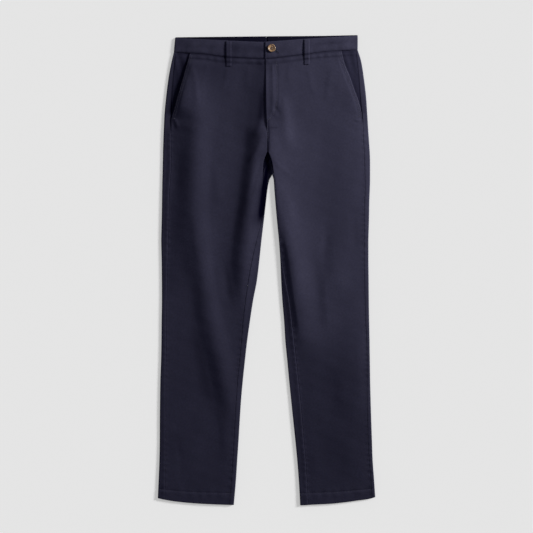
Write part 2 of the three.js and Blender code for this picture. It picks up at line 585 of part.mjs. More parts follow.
// A four-hole button with a raised rim and a dished middle, its back at z = 0. The profile
// gives parts of the radius and of the height.
const BUTTON_PROFILE = [
  [0, 0], [0.84, 0], [1, 0.3], [1, 0.72], [0.93, 0.97], [0.82, 1], [0.68, 0.72], [0.5, 0.6], [0, 0.58],
];
function buttonShape() {
  const profile = BUTTON_PROFILE
    .map(([r, z]) => new THREE.Vector2(r * BUTTON_RADIUS, z * BUTTON_HEIGHT));
  const disc = new THREE.LatheGeometry(profile, BUTTON_SIDES).rotateX(Math.PI / 2);
  let body = solid(disc);
  for (const [sx, sy] of [[-1, -1], [1, -1], [-1, 1], [1, 1]]) {
    const hole = rod(BUTTON_HOLE_RADIUS, BUTTON_HOLE_DEPTH);
    hole.translate(sx * BUTTON_HOLE_OFFSET, sy * BUTTON_HOLE_OFFSET, BUTTON_HEIGHT / 2);
    body = body.subtract(solid(hole));
  }
  return shape(body);
}

// The overlapping end of the band with its buttonhole cut through.
function buttonholeBand(band) {
  const slit = new THREE.BoxGeometry(SLIT_LENGTH, SLIT_WIDTH, SLIT_DEPTH);
  slit.translate(SLIT_REACH, 0, 0).rotateZ(SLIT_ANGLE);
  slit.translate(BUTTON_AT[0], BUTTON_AT[1], at(BAND_OVERLAP, "z", BUTTON_AT[0]) - BAND_WALL / 2);
  return shape(solid(band).subtract(solid(slit)));
}

const twill = new THREE.MeshStandardMaterial({ color: 0x2b2a3c, roughness: 0.92, metalness: 0 });
const twillShade = new THREE.MeshStandardMaterial({ color: 0x232231, roughness: 0.94, metalness: 0 });
const horn = new THREE.MeshStandardMaterial({ color: 0x8a7258, roughness: 0.45, metalness: 0 });
const thread = new THREE.MeshStandardMaterial({ color: 0x3a3640, roughness: 0.85, metalness: 0 });

const garment = new THREE.Group();
function add(name, geometry, material) {
  const mesh = new THREE.Mesh(geometry, material);
  mesh.name = name;
  garment.add(mesh);
  return mesh;
}

add("front_leg_right", frontLeg(RIGHT), twill);
add("front_leg_left", frontLeg(LEFT), twill);
add("back_leg_right", backLeg(RIGHT), twill);
add("back_leg_left", backLeg(LEFT), twill);
add("pocket_facing_right", pocketFacing(RIGHT), twillShade);
add("pocket_facing_left", pocketFacing(LEFT), twillShade);
add("fly_shield", flyShield(), twillShade);

const underlapEnd = FLY_SHIELD_X + FLY_SHIELD_WIDTH;
const rightBand = waistband(RIGHT, BAND_FRONT, BAND_BACK_END_X.right, underlapEnd, RIGHT_BAND_FOLD);
const leftBand = waistband(
  LEFT, BAND_OVERLAP, BAND_BACK_END_X.left, BAND_OVERLAP_END_X, LEFT_BAND_FOLD,
);
add("waistband_right", rightBand, twill);
add("waistband_left", buttonholeBand(leftBand), twill);

add("belt_loop_front_right", frontLoop(FRONT_LOOP_X[0], RIGHT, BAND_FRONT), twill);
add("belt_loop_front_left", frontLoop(FRONT_LOOP_X[1], LEFT, BAND_OVERLAP), twill);
["belt_loop_back_right", "belt_loop_back_centre", "belt_loop_back_left"].forEach((name, i) => {
  add(name, backLoop(BACK_LOOP_X[i]), twill);
});

const bandZ = at(BAND_OVERLAP, "z", BUTTON_AT[0]);
const button = add("button", buttonShape(), horn);
button.position.set(BUTTON_AT[0], BUTTON_AT[1], bandZ + SEAM_GAP);
button.rotation.z = SLIT_ANGLE;

const shankLow = at(BAND_FRONT, "z", BUTTON_AT[0]) + SEAM_GAP;
const shankHeight = bandZ - shankLow;
const shank = add("button_thread", rod(SHANK_RADIUS, shankHeight), thread);
shank.position.set(BUTTON_AT[0], BUTTON_AT[1], shankLow + shankHeight / 2);

export default garment;
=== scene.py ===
"""Slim navy chino trousers laid flat on a pale surface, seen from straight above."""
import math

import bmesh
import bpy
import numpy as np
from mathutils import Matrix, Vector


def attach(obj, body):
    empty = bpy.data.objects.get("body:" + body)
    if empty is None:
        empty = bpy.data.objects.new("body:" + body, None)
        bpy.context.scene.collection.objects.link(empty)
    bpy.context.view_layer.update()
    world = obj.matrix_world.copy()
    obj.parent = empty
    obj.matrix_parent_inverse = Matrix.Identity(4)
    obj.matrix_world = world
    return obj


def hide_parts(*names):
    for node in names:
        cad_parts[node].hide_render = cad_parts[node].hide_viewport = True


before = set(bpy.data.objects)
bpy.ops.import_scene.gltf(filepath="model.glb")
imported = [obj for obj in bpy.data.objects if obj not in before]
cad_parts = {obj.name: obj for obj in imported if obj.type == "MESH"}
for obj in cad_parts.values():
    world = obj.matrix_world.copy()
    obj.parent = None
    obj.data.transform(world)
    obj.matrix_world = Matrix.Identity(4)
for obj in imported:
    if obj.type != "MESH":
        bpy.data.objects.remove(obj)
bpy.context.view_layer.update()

# Sizes in millimetres. The waist points towards +Y and the wearer's right side is at -X.
# Walls, the gap at each seam and the one below the waistband.
CLOTH = 1.0
HEM_WALL = 1.9
BAND_WALL = 1.7
SEAM_GAP = 0.3
BAND_GAP = 0.08
LEAST_WALL = 0.3

# Levels of the seams and ends down the garment, and how far the waist and hem curves reach.
WAIST_Y = 487.7
FLY_END_Y = 345.0
CROTCH_Y = 273.4
FORK_Y = 220.9
HEM_Y = -533.7
HEM_DEPTH = 27.2
BEND_REACH = 137.0

# Levels where the outline of the fly steps, and where the inner edge of the front is its fold.
FLY_STEPS_Y = [350, 341]
INNER_EDGE_Y = (FORK_Y - 110, FORK_Y - 160)
# The strip beside the outseam lies low by the pocket and is level with the front below it.
STRIP_Y = (FLY_END_Y - 3, FLY_END_Y - 37)
# The back loops lift the waist by this much, between these levels.
LOOP_LIFT = 1.5
LIFT_Y = (438.0, 470.0)

# Shortest lip of the back panel beside the inseam, and its turned-in end at the seat.
SHORTEST_LIP = 0.5
SEAT_END = 0.6
# How far the right leg's inner fold sinks where the other leg stands over it, and where.
INNER_SUNK = 1.0
SUNK_SHARE = 0.55
SUNK_LOW_Y = (60, 130)
SUNK_HIGH_Y = (268, 238)

# Heights of the seam allowances' ridges and of the puckers along them.
SEAM_RIDGE, SEAM_PUCKER = 0.32, 0.22
HEM_RIDGE, HEM_GROOVE, HEM_PUCKER = 0.36, 0.27, 0.16
WAIST_RIDGE, WAIST_PUCKER = 0.65, 0.15
# Levels below which the ridges of the two leg seams rise.
OUTSEAM_RIDGE_Y = FLY_END_Y - 10
INSEAM_RIDGE_Y = 90.0

LOOP_WIDTH = 12.5
LOOP_LENGTH = 57.0
LOOP_ARCH = 1.1
LOOP_ARCH_PART = 0.82
FRONT_LOOP_X = [-86.4, 91.4]
BACK_LOOP_X = [-104.0, 0.3, 104.0]
FRONT_LOOP_INSET = 1.5
BACK_LOOP_INSET = 2
BACK_LOOP_HEIGHT = 1.2

FACING_END_Y = 350
FACING_UNDER = 15
FLY_SHIELD_X = -2.3
FLY_SHIELD_WIDTH = 38
FLY_SHIELD_END_Y = 352
FLY_SHIELD_TOP_Z = 5.1
FLY_SHIELD_UNDER = 1.5

# Waistband: its depth, where its ends lie, and the fold at each side, at its top and low edge.
BAND_DEPTH = 36
BAND_OVERLAP_END_X = -3.2
BAND_UNDERLAP_END_X = FLY_SHIELD_X + FLY_SHIELD_WIDTH
BAND_BACK_END_X = {"right": 0, "left": 0.5}
RIGHT_BAND_FOLD = (-208.4, -211.4)
LEFT_BAND_FOLD = (207.6, 207.6)
BAND_FLARE_X = (190, 207)
BAND_CROWN = 0.36
BAND_PARTS = (0, 0.008, 0.022, 0.05, 0.12, 0.2, 0.3, 0.4, 0.5, 0.6, 0.7, 0.8, 0.88, 0.95, 0.978,
              0.992, 1)

BUTTON_AT = (11.4, 505.0)
BUTTON_RADIUS = 9.0
BUTTON_LIFT = 0.4
BUTTON_GRID = 84
# Face of the button: share of its radius and height.
BUTTON_FACE = [(0, 1.62), (0.5, 1.66), (0.64, 1.95), (0.74, 2.55), (0.84, 2.8), (0.93, 2.62),
               (0.98, 2.1), (1.0, 1.5)]
HOLE_OFFSET = 1.75
HOLE_RADIUS = (1.15, 0.8)
HOLE_DEPTH = 1.5
SLIT_ANGLE = -0.54
SLIT_SPAN = (-4, 17.2)

# Stitches that hold the hem, the pocket mouths, the fly and the seat seam, and the whipped
# ones round the buttonhole.
HEM_STITCH_UP = HEM_DEPTH - 1.5
HEM_STITCH_INSET = 4
MOUTH_STITCH_INSETS = (1.6, 6.4)
FLY_STITCHES = [(22.5, 480), (24, 430), (24, 395), (20, 366), (12, 350), (3, 343)]
SEAT_STITCH_OFFSET = 1.3
SEAT_STITCH_Y = (341, 292)
WHIP_PITCH = 1.5
WHIP_REACH = (0.55, 2.3)
WHIP_RADIUS = 0.36
TACK_RADIUS = 0.3
STRAND_HEIGHT = 1.72
STRAND_RADIUS = 0.26
SHANK_STRANDS = 7
SHANK_RADIUS = 0.6

# Step of the cloth's grid, and the height from which its folds are raised above the solids'.
GRID = 3.0
BAND_GRID = 2.2
FOLD_BASE = 4.2
FOLDS_FADE_Y = (470, 395)
# The solids' folds are softened across their length with these weights at these shifts.
SOFTEN = [(-18, 0.13), (-9, 0.22), (0, 0.3), (9, 0.22), (18, 0.13)]
# How much the shading exaggerates the slopes of folds, and the upward tilt at which it does.
SLOPE_GAIN = 2.4
FLAT_TILT = (0.8, 0.93)
# A flank this wide doesn't tilt the cloth on its side.
NO_SLOPE = 1e4
# Widths of its wider flank within which a fold line has any effect.
FOLD_REACH = 2.6
# Distances from a cut edge at which its turned corner is drawn.
EDGE_STEPS = np.array([0.0, 0.25, 0.6, 1.2])

# Linear colours of the twill, of the painted shadow in the darkest hollows
# and of the sewing thread.
TWILL_LOW = (0.0192, 0.0182, 0.0330)
TWILL_HIGH = (0.0280, 0.0268, 0.0462)
SHADOW_TONE = (0.0007, 0.0005, 0.0050, 1)
# Power of the painted shade in red, green and blue.
SHADE_POWERS = (1.2, 1.2, 0.9)
THREAD_COLOUR = (0.022, 0.021, 0.040)
HORN_DARK = (0.045, 0.022, 0.012, 1)
HORN_LIGHT = (0.36, 0.22, 0.10, 1)
SHEEN_TINT = (0.6, 0.6, 1.0, 1)
# Painted shade: shares of the twill's colour for the pocket facings and fly shield, and for the
# inner faces of the cloth.
FACING_PAINTED_SHADE = 0.7
INSIDE_PAINTED_SHADE = 0.24

# Camera and lights, in metres.
CAMERA_AT = (-0.0002, 0.0083, 3.2)
CAMERA_LENS = 94.8
FLOOR_HALF = 20.0
FLOOR_Z = -0.0003
FLOOR_GREY = (0.8, 0.8, 0.8, 1)
FLOOR_GLOW = 0.372
FILL_TINT = (0.05, 0.08, 1.0)
FLOOR = "floor"


def table(columns, rows):
    """Columns by name, in rising order of the first one."""
    data = np.array(sorted(rows, key=lambda row: row[0]), float)
    return {name: data[:, i] for i, name in enumerate(columns)}


# Outline of each leg by level: folds of the laid-out leg, and the seams that lie inside them.
OUTLINE_COLUMNS = ["y", "outerFold", "outseam", "inseam", "innerFold"]
# Height of the upper face across each leg: folds from the outer side to the inner one.
FOLD_COLUMNS = [
    "y", "outerZ", "shoulderX", "shoulderZ", "ridgeX", "ridgeZ", "footX", "footZ",
    "troughX", "troughZ", "innerRidgeX", "innerRidgeZ", "innerZ",
]
POCKET_COLUMNS = ["y", "mouth", "facingZ"]
RIGHT_OUTLINE = table(OUTLINE_COLUMNS, [
    [487.7, -211.4, -207.5, 0.7, 0],
    [464.9, -217.3, -210.9, 0.9, 0],
    [433, -223.7, -213.6, 1.2, 0.2],
    [387.4, -229.6, -215.9, 1.6, 0.5],
    [350, -233, -218, 2.8, 0.8],
    [341, -233.4, -218.2, -0.3, 0.9],
    [309.9, -234.8, -218.4, 0.9, 2.1],
    [290, -235.4, -218.2, 1.5, 3],
    [273.4, -236, -218, 2.1, 3.9],
    [259.7, -236.2, -217.7, -3, 8.2],
    [243.7, -236.7, -217.7, -7.5, 12.2],
    [220.9, -237.1, -218.7, -8.7, 13.4],
    [205, -237.6, -219.8, -8.9, 5.9],
    [182.2, -238, -221.4, -8.9, 1.8],
    [159.4, -238.3, -222.8, -8.9, -0.9],
    [132, -238.7, -223.2, -9.8, -4.1],
    [100.1, -239.4, -223.7, -15, -7.8],
    [68.2, -240.1, -224.8, -23, -11.6],
    [22.6, -239.2, -225.5, -33.5, -16.4],
    [-23, -238.7, -226.6, -42.2, -21.9],
    [-68.6, -238.5, -227.8, -48.8, -30.6],
    [-114.2, -239.2, -229.4, -54.5, -37.6],
    [-159.8, -239.6, -228.5, -58.1, -44],
    [-205.4, -240.5, -229.6, -62.2, -49.2],
    [-251, -242.1, -230.1, -66.8, -54],
    [-296.6, -242.8, -230.1, -69.8, -58.1],
    [-342.2, -243.3, -230.1, -72.7, -61.1],
    [-387.8, -243.5, -230.1, -75.2, -63.8],
    [-433.4, -244.2, -230.1, -78, -66.8],
    [-479, -245.8, -230.5, -80.9, -69.8],
    [-533.7, -247.8, -231.9, -85.5, -74.6],
])
LEFT_OUTLINE = table(OUTLINE_COLUMNS, [
    [487.7, 207.5, 204.1, -2.3, 0.5],
    [464.9, 215.7, 206.1, -2.1, 0.5],
    [433, 221.6, 210.4, -1.8, 0.7],
    [387.4, 227.3, 213.6, -1.4, 0.9],
    [344.1, 230.1, 219.1, 0, 1.4],
    [309.9, 232.3, 219.6, 1.4, 2.5],
    [273.4, 234.8, 221.6, 2.7, 4.3],
    [259.7, 235.5, 222.1, 8.4, 6.8],
    [243.7, 235.8, 222.8, 13, 9.3],
    [220.9, 235.8, 223.4, 16.2, 12.1],
    [205, 235.8, 223.7, 19.4, 16.2],
    [182.2, 235.1, 223.7, 21, 17.8],
    [159.4, 234.2, 222.8, 22.8, 19.6],
    [132, 233.7, 221.6, 25.1, 21.9],
    [100.1, 233, 221.4, 28, 24.9],
    [68.2, 232.1, 221.4, 31.5, 28],
    [22.6, 232.1, 221.4, 35.8, 31.2],
    [-23, 232.6, 222.5, 43.3, 33.1],
    [-68.6, 233, 223.7, 51.5, 35.8],
    [-114.2, 233.7, 224.8, 57.2, 39.7],
    [-159.8, 234.6, 227.5, 62.5, 42.6],
    [-205.4, 235.3, 228.2, 67.5, 47],
    [-251, 236, 228.2, 72.3, 51.3],
    [-296.6, 237.1, 228.2, 77.1, 55.9],
    [-342.2, 238.5, 229.4, 81.2, 60.6],
    [-387.8, 240.1, 230.5, 85, 65.4],
    [-433.4, 241.7, 232.8, 89.1, 69.8],
    [-479, 244.6, 236.2, 91.7, 73.4],
    [-533.7, 247.6, 239.4, 94.8, 76.6],
])
RIGHT_FOLDS = table(FOLD_COLUMNS, [
    [487.7, 4.9, -174.6, 5.8, -159.4, 5.9, -118.3, 5.3, -72.7, 4.8, -31.7, 5, 5.1],
    [464.9, 4.6, -181.3, 6, -163.9, 6.1, -118.3, 5.2, -72.7, 4.7, -31.7, 5, 5.1],
    [433, 4.3, -190.8, 6.2, -168.5, 6.2, -118.3, 4.9, -68.2, 4.4, -27.1, 5, 5.1],
    [387.4, 4.2, -204.3, 6.1, -166.2, 6.3, -118.3, 4.6, -63.6, 4.1, -18, 5, 5.1],
    [341, 4.2, -213.2, 5.1, -163.9, 6.3, -116.1, 4.3, -59.1, 3.9, -13.5, 5.1, 5.1],
    [309.9, 4.2, -195.9, 5.1, -163.9, 6.3, -116.1, 4.1, -59.1, 3.8, -15.7, 6.2, 6.2],
    [273.4, 4.2, -195.9, 5.1, -163.9, 6.3, -116.1, 3.9, -63.6, 3.6, -22.6, 6.3, 5.6],
    [243.7, 4.2, -195.9, 5.1, -163.9, 6.3, -116.1, 3.8, -70.5, 3.4, -27.1, 6.2, 3.4],
    [205, 4.2, -195.9, 5.1, -162.8, 6.3, -116.1, 3.7, -77.3, 3.3, -31.7, 6.2, 2.8],
    [159.4, 4.2, -195.9, 5.1, -162.8, 6.3, -116.1, 3.6, -81.9, 3.3, -36.3, 6.2, 2.8],
    [113.8, 4.2, -193.6, 5, -160.5, 6.3, -113.8, 3.5, -88.7, 3.3, -43.1, 6.2, 3.1],
    [68.2, 4.2, -189, 4.8, -157.1, 6.3, -109.2, 3.4, -95.5, 3.3, -49.9, 6.1, 3.8],
    [22.6, 4.2, -182.2, 4.6, -152.5, 6.3, -106.9, 3.4, -97.8, 3.4, -52.2, 5.9, 4.1],
    [-23, 4.2, -177.6, 4.4, -145.7, 6.3, -102.4, 3.4, -93.3, 3.4, -52.2, 5.5, 4.1],
    [-68.6, 4.2, -170.8, 4.2, -138.9, 6.3, -95.5, 3.5, -86.4, 3.5, -52.2, 4.9, 4.1],
    [-114.2, 4.2, -163.9, 4, -129.7, 6.3, -86.4, 3.7, -77.3, 3.7, -54.5, 4.5, 4.1],
    [-159.8, 4.2, -157.1, 3.8, -119.5, 6.2, -77.3, 3.9, -70.5, 3.9, -56.8, 4.2, 4.1],
    [-205.4, 4.2, -148, 3.7, -106.9, 6.1, -72.7, 4.2, -65.9, 4.1, -57.9, 4.1, 4.1],
    [-251, 4.2, -138.9, 3.7, -95.5, 6, -75, 4.8, -68.2, 4.4, -62.5, 4.2, 4.1],
    [-296.6, 4.2, -129.7, 3.7, -86.4, 5.8, -75, 5.1, -69.3, 4.6, -64.8, 4.3, 4.1],
    [-342.2, 4.2, -120.6, 3.8, -84.1, 5.4, -76.2, 5.1, -71.6, 4.7, -67, 4.4, 4.2],
    [-387.8, 4.3, -118.3, 4, -86.4, 5, -78.4, 4.9, -73.9, 4.7, -70, 4.5, 4.3],
    [-433.4, 4.5, -120.6, 4.3, -88.7, 4.9, -81.9, 4.9, -77.3, 4.8, -73.2, 4.7, 4.5],
    [-479, 4.8, -122.9, 4.8, -100.1, 5, -88.7, 5, -83, 5, -77.3, 4.9, 4.8],
    [-533.7, 4.9, -150.3, 5.2, -127.5, 5.2, -109.2, 5.2, -95.5, 5.1, -84.1, 5, 4.9],
])
LEFT_FOLDS = table(FOLD_COLUMNS, [
    [487.7, 4.9, 170.1, 5.8, 155.3, 5.8, 127.9, 5.5, 77.7, 6, 20.7, 6.6, 6.6],
    [464.9, 4.6, 176.9, 5.7, 159.8, 5.7, 127.9, 5.3, 77.7, 5.9, 23, 6.5, 6.6],
    [433, 4.3, 190.6, 5.7, 173.5, 5.7, 127.9, 5, 77.7, 5.7, 27.6, 6.5, 6.7],
    [387.4, 4.2, 208.2, 5.7, 187.2, 5.5, 127.9, 4.8, 73.2, 5.4, 34.4, 6.3, 6.7],
    [344.1, 4.2, 214.5, 5.1, 187.2, 5.1, 132.5, 4.6, 73.2, 5.2, 39, 6.2, 6.7],
    [309.9, 4.2, 210, 4.8, 182.6, 4.9, 134.7, 4.5, 77.7, 5, 41.3, 6.3, 6.3],
    [273.4, 4.2, 207.7, 4.7, 178.1, 4.8, 134.7, 4.4, 82.3, 5, 41.3, 6.3, 6.2],
    [243.7, 4.2, 207.7, 4.7, 178.1, 4.7, 137, 4.3, 82.3, 5.1, 32.1, 6.3, 5.9],
    [205, 4.2, 205.4, 4.7, 175.8, 4.6, 139.3, 4.2, 82.3, 5, 29.9, 6.3, 5.6],
    [159.4, 4.2, 205.4, 4.7, 173.5, 4.5, 139.3, 4.1, 82.3, 4.9, 32.1, 6.3, 5.6],
    [113.8, 4.2, 203.1, 4.7, 168.9, 4.5, 137, 4, 84.6, 4.8, 36.7, 6.3, 5.6],
    [68.2, 4.2, 200.9, 4.6, 159.8, 4.6, 134.7, 3.9, 91.4, 4.8, 45.8, 6.3, 5.3],
    [22.6, 4.2, 198.6, 4.6, 155.3, 4.7, 130.2, 3.7, 100.5, 4.7, 54.9, 6.3, 4.6],
    [-23, 4.2, 198.6, 4.7, 155.3, 4.6, 132.5, 3.6, 102.8, 4.7, 59.5, 6.3, 4.2],
    [-68.6, 4.2, 196.3, 4.8, 159.8, 4.3, 137, 3.8, 105.1, 4.7, 65.2, 6.3, 4.1],
    [-114.2, 4.2, 196.3, 4.8, 164.4, 4.3, 139.3, 4.1, 107.4, 4.8, 72, 6.2, 4.1],
    [-150.7, 4.2, 198.6, 4.8, 168.9, 4.4, 141.6, 4.2, 111.9, 4.7, 78.9, 5.9, 4.1],
    [-187.2, 4.2, 200.9, 4.8, 171.2, 4.6, 141.6, 4.4, 111.9, 4.6, 77.7, 4.7, 4.1],
    [-223.7, 4.2, 203.1, 4.8, 175.8, 4.8, 143.9, 4.5, 114.2, 4.3, 82.3, 4.2, 4.1],
    [-273.8, 4.2, 205.4, 4.7, 178.1, 4.8, 148.4, 4.5, 118.8, 4.3, 86.9, 4.2, 4.1],
    [-342.2, 4.2, 210, 4.6, 182.6, 4.7, 153, 4.5, 123.3, 4.4, 91.4, 4.4, 4.2],
    [-433.4, 4.5, 214.5, 4.7, 187.2, 4.7, 159.8, 4.6, 130.2, 4.6, 98.3, 4.6, 4.5],
    [-533.7, 4.9, 221.4, 5.1, 191.7, 5.2, 164.4, 5.2, 134.7, 5.2, 105.1, 5.1, 4.9],
])
RIGHT_POCKET = table(POCKET_COLUMNS, [
    [487.7, -174.6, 4.25],
    [464.9, -181.3, 4.2],
    [433, -190.8, 4.1],
    [405.6, -199, 4],
    [387.4, -204.3, 4],
    [360, -211.8, 3.8],
    [344.1, -217.2, 3.5],
])
LEFT_POCKET = table(POCKET_COLUMNS, [
    [487.7, 170.1, 4.25],
    [464.9, 176.9, 4.15],
    [433, 190.6, 4.1],
    [405.6, 200.9, 4.1],
    [387.4, 208.2, 4.1],
    [360, 216, 3.8],
    [344.1, 218.2, 3.5],
])
FRONT_WAIST = table(["x", "dy"], [
    [-211.8, 8], [-150.3, 4.6], [-93.3, -2.3], [-3.2, -6.8],
    [36.7, -3], [77.7, 2.3], [146.1, 10.3], [207.7, 13.7],
])
BACK_WAIST = table(["x", "dy"], [[-211.8, 8], [0.2, 9.6], [207.7, 13.5]])
HEM_BEND = table(["x", "dy"], [
    [-248.3, 14.8], [-233.5, 11.4], [-205, 6.8], [-154.8, 2.3], [-104.7, 0], [-75, -0.9],
    [76.6, -1.6], [107.4, 0], [150, 2.3], [171.2, 4.6], [189.5, 6.8], [204.7, 9.1],
    [223.7, 11.4], [236.2, 13.7], [247.6, 17.3],
])
BAND_FRONT = table(["x", "top", "z"], [
    [-210, 528.7, 5.4], [-166, 526.4, 6.3], [-118, 524.2, 5.9], [-73, 522, 5.5],
    [-3.2, 519.6, 5.4], [40, 519.6, 5.4],
])
BAND_OVERLAP = table(["x", "top", "z"], [
    [-3.2, 519.6, 7.5], [39, 522.5, 7.4], [77.7, 525.6, 6.9],
    [127.9, 529, 6.1], [169, 531.6, 6.2], [204, 533.3, 5.4],
])
BAND_BACK = table(["x", "top"], [[-210, 530.3], [0, 532.6], [115, 533.5], [207.7, 535.4]])

RIGHT = {"out": -1, "outline": RIGHT_OUTLINE, "folds": RIGHT_FOLDS, "pocket": RIGHT_POCKET}
LEFT = {"out": 1, "outline": LEFT_OUTLINE, "folds": LEFT_FOLDS, "pocket": LEFT_POCKET}


def curve(xs, ys, x):
    """Smooth values at x (array) through the points (xs, ys), never overshooting them."""
    x = np.clip(np.asarray(x, float), xs[0], xs[-1])
    width = np.diff(xs)
    slope = np.diff(ys) / width
    before, after = slope[:-1], slope[1:]
    same = before * after > 0
    inner = np.where(same, 2 * before * after / np.where(same, before + after, 1), 0)
    tangent = np.concatenate([[slope[0]], inner, [slope[-1]]])
    k = np.clip(np.searchsorted(xs, x, side="right") - 1, 0, len(xs) - 2)
    h = width[k]
    t = (x - xs[k]) / h
    t2, t3 = t * t, t * t * t
    return ((2 * t3 - 3 * t2 + 1) * ys[k] + (t3 - 2 * t2 + t) * h * tangent[k]
            + (3 * t2 - 2 * t3) * ys[k + 1] + (t3 - t2) * h * tangent[k + 1])


def at(rows, column, y):
    return curve(rows["y"] if "y" in rows else rows["x"], rows[column], y)


def ramp(value, start, end):
    t = np.clip((np.asarray(value, float) - start) / (end - start), 0, 1)
    return t * t * (3 - 2 * t)


def bell(distance, width):
    return np.exp(-(distance / width) ** 2)


def ripples(place, pitch, sway, slow):
    """Ripples whose pitch drifts slowly."""
    return np.sin(place / pitch + sway * np.sin(place / slow))


def lift(y):
    """How far the loops under the band lift the back at a level."""
    return LOOP_LIFT * ramp(y, *LIFT_Y)


def bend(x, y, waist):
    """A level's place on the garment, whose waist and hems are curved."""
    near_waist = np.clip(1 - (WAIST_Y - y) / BEND_REACH, 0, None) ** 2
    near_hem = np.clip(1 - (y - HEM_Y) / BEND_REACH, 0, None) ** 2
    return y + near_waist * at(waist, "dy", x) + near_hem * at(HEM_BEND, "dy", x)


def outer_radius(leg, y):
    return (at(leg["folds"], "outerZ", y) - lift(y)) / 2


def inner_radius(leg, y):
    return (at(leg["folds"], "innerZ", y) - lift(y)) / 2


def inseam_x(leg, y):
    seam = at(leg["outline"], "inseam", y)
    fold = at(leg["outline"], "innerFold", y)
    clear = inner_radius(leg, y) + SHORTEST_LIP + SEAM_GAP
    clamped = fold + leg["out"] * np.maximum(leg["out"] * (seam - fold), clear)
    return np.where(y > FORK_Y, seam, clamped)


def base_z(leg, x, y):
    """Upper face of the leg at one level y and places x, as the solids have it."""
    out, folds, outline = leg["out"], leg["folds"], leg["outline"]
    below_fork = ramp(y, *INNER_EDGE_Y)
    seam = inseam_x(leg, y)
    fold = at(outline, "innerFold", y) + out * inner_radius(leg, y)
    places = [float(at(outline, "outerFold", y) - out * outer_radius(leg, y))]
    places += [float(at(folds, c, y)) for c in
               ("shoulderX", "ridgeX", "footX", "troughX", "innerRidgeX")]
    places.append(float(seam + (fold - seam) * below_fork))
    heights = [float(at(folds, c, y)) for c in
               ("outerZ", "shoulderZ", "ridgeZ", "footZ", "troughZ", "innerRidgeZ", "innerZ")]
    if out > 0:
        places.reverse()
        heights.reverse()
    return curve(np.array(places), np.array(heights), x)


# Fold lines, one to a row: widths of the left and right flanks, height, the share of the
# length over which each end tapers out, and points on the crest or trough, in millimetres.
# Creases of the front as seen from above.
CREASES = [
    # fly: the stitched line, pulls at its end and the long soft fold beside it
    (1.6, 1.6, -0.3, 0.02, FLY_STITCHES),
    (2.6, 2.2, 0.42, 0.06, [(13, 480), (14.4, 430), (15, 390), (13, 358)]),
    (1.2, 1.2, -0.2, 0.03, [(5, 484), (5, 380), (3, 344)]),
    (2, 2, -0.25, 0.3, [(32, 396), (33, 384), (33, 372)]),
    (3, 3, -0.32, 0.3, [(12, 376), (22, 366), (34, 352)]),
    (2.4, 2.4, 0.32, 0.3, [(10, 366), (20, 352), (30, 342)]),
    (16, 14, 1.5, 0.3, [(30, 410), (38, 366), (44, 320), (50, 262)]),
    # crotch: seam pulls that run from the fork into each thigh
    (1.5, 2.0, -0.5, 0.1, [(2, 330), (3, 300), (4, 268)]),
    (7, 9, 0.6, 0.3, [(-6, 316), (-22, 272), (-44, 236)]),
    (6, 5, -0.5, 0.3, [(-8, 262), (-24, 214), (-40, 150)]),
    (9, 12, 0.4, 0.3, [(22, 205), (48, 150), (64, 90)]),
    (6, 8, 0.35, 0.3, [(10, 262), (34, 232), (60, 214)]),
    # pocket mouths: raised edge, its stitching, short puckers at the bar tacks, pocket bags
    (21, 34, 3.0, 0.22, [(-158, 500), (-165, 470), (-176, 433), (-190, 387), (-199, 338)]),
    (1.1, 1.3, -0.3, 0.03, [(-168.5, 487), (-184.5, 433), (-198, 387), (-207, 352)]),
    (1.3, 1.1, -0.22, 0.03, [(163.5, 487), (184, 433), (201.5, 387), (210, 352)]),
    (1.4, 1.4, 0.12, 0.03, [(158.5, 487), (178, 433), (195, 387), (204, 356)]),
    (2.5, 4, 0.45, 0.3, [(-214, 348), (-206, 336), (-203, 322)]),
    (2, 2.5, -0.3, 0.3, [(-215, 338), (-211, 330), (-210, 318)]),
    (2.5, 2.5, 0.35, 0.3, [(198, 346), (206, 341), (216, 342)]),
    (2, 2.5, -0.3, 0.3, [(200, 338), (208, 334), (216, 336)]),
    (9, 5, 0.5, 0.3, [(-172, 478), (-160, 420), (-156, 360)]),
    (7, 9, 0.3, 0.3, [(150, 470), (141, 420), (136, 372)]),
    # short pulls that hang from the waist seam and the belt loops
    (5, 4, 0.2, 0.3, [(-140, 486), (-136, 462), (-138, 436)]),
    (6, 7, 0.22, 0.3, [(-88, 470), (-92, 440), (-104, 404)]),
    (7, 6, 0.12, 0.3, [(-46, 480), (-42, 450), (-44, 412)]),
    (5, 7, 0.16, 0.3, [(52, 478), (50, 448), (56, 410)]),
    (6, 8, 0.2, 0.3, [(92, 468), (100, 430), (112, 388)]),
    # wearer's right leg
    (9, 12, -0.25, 0.3, [(-208, 290), (-206, 220), (-209, 150)]),
    (14, 8, -0.3, 0.3, [(-176, 130), (-172, 60), (-160, 0)]),
    (10, 12, 0.3, 0.3, [(-120, 250), (-112, 190), (-106, 140)]),
    (9, 8, -0.3, 0.3, [(-97, 20), (-90, -40), (-78, -92)]),
    (10, 12, 0.3, 0.3, [(-118, -300), (-100, -352), (-92, -420)]),
    (7, 9, -0.25, 0.3, [(-205, -380), (-196, -440), (-198, -492)]),
    (16, 12, 0.25, 0.3, [(-150, -60), (-146, -130), (-150, -210)]),
    # wearer's left leg
    (9, 11, -0.55, 0.3, [(138, 104), (134, 30), (136, -40)]),
    (12, 10, 0.25, 0.3, [(112, 60), (118, 0), (124, -60)]),
    (11, 8, -0.25, 0.3, [(196, 150), (198, 90), (202, 30)]),
    (16, 8, 0.35, 0.3, [(214, -40), (216, -140), (219, -240)]),
    (14, 14, 0.2, 0.3, [(150, -200), (168, -260), (176, -330)]),
    (12, 14, 0.2, 0.3, [(100, -330), (104, -400), (112, -470)]),
]

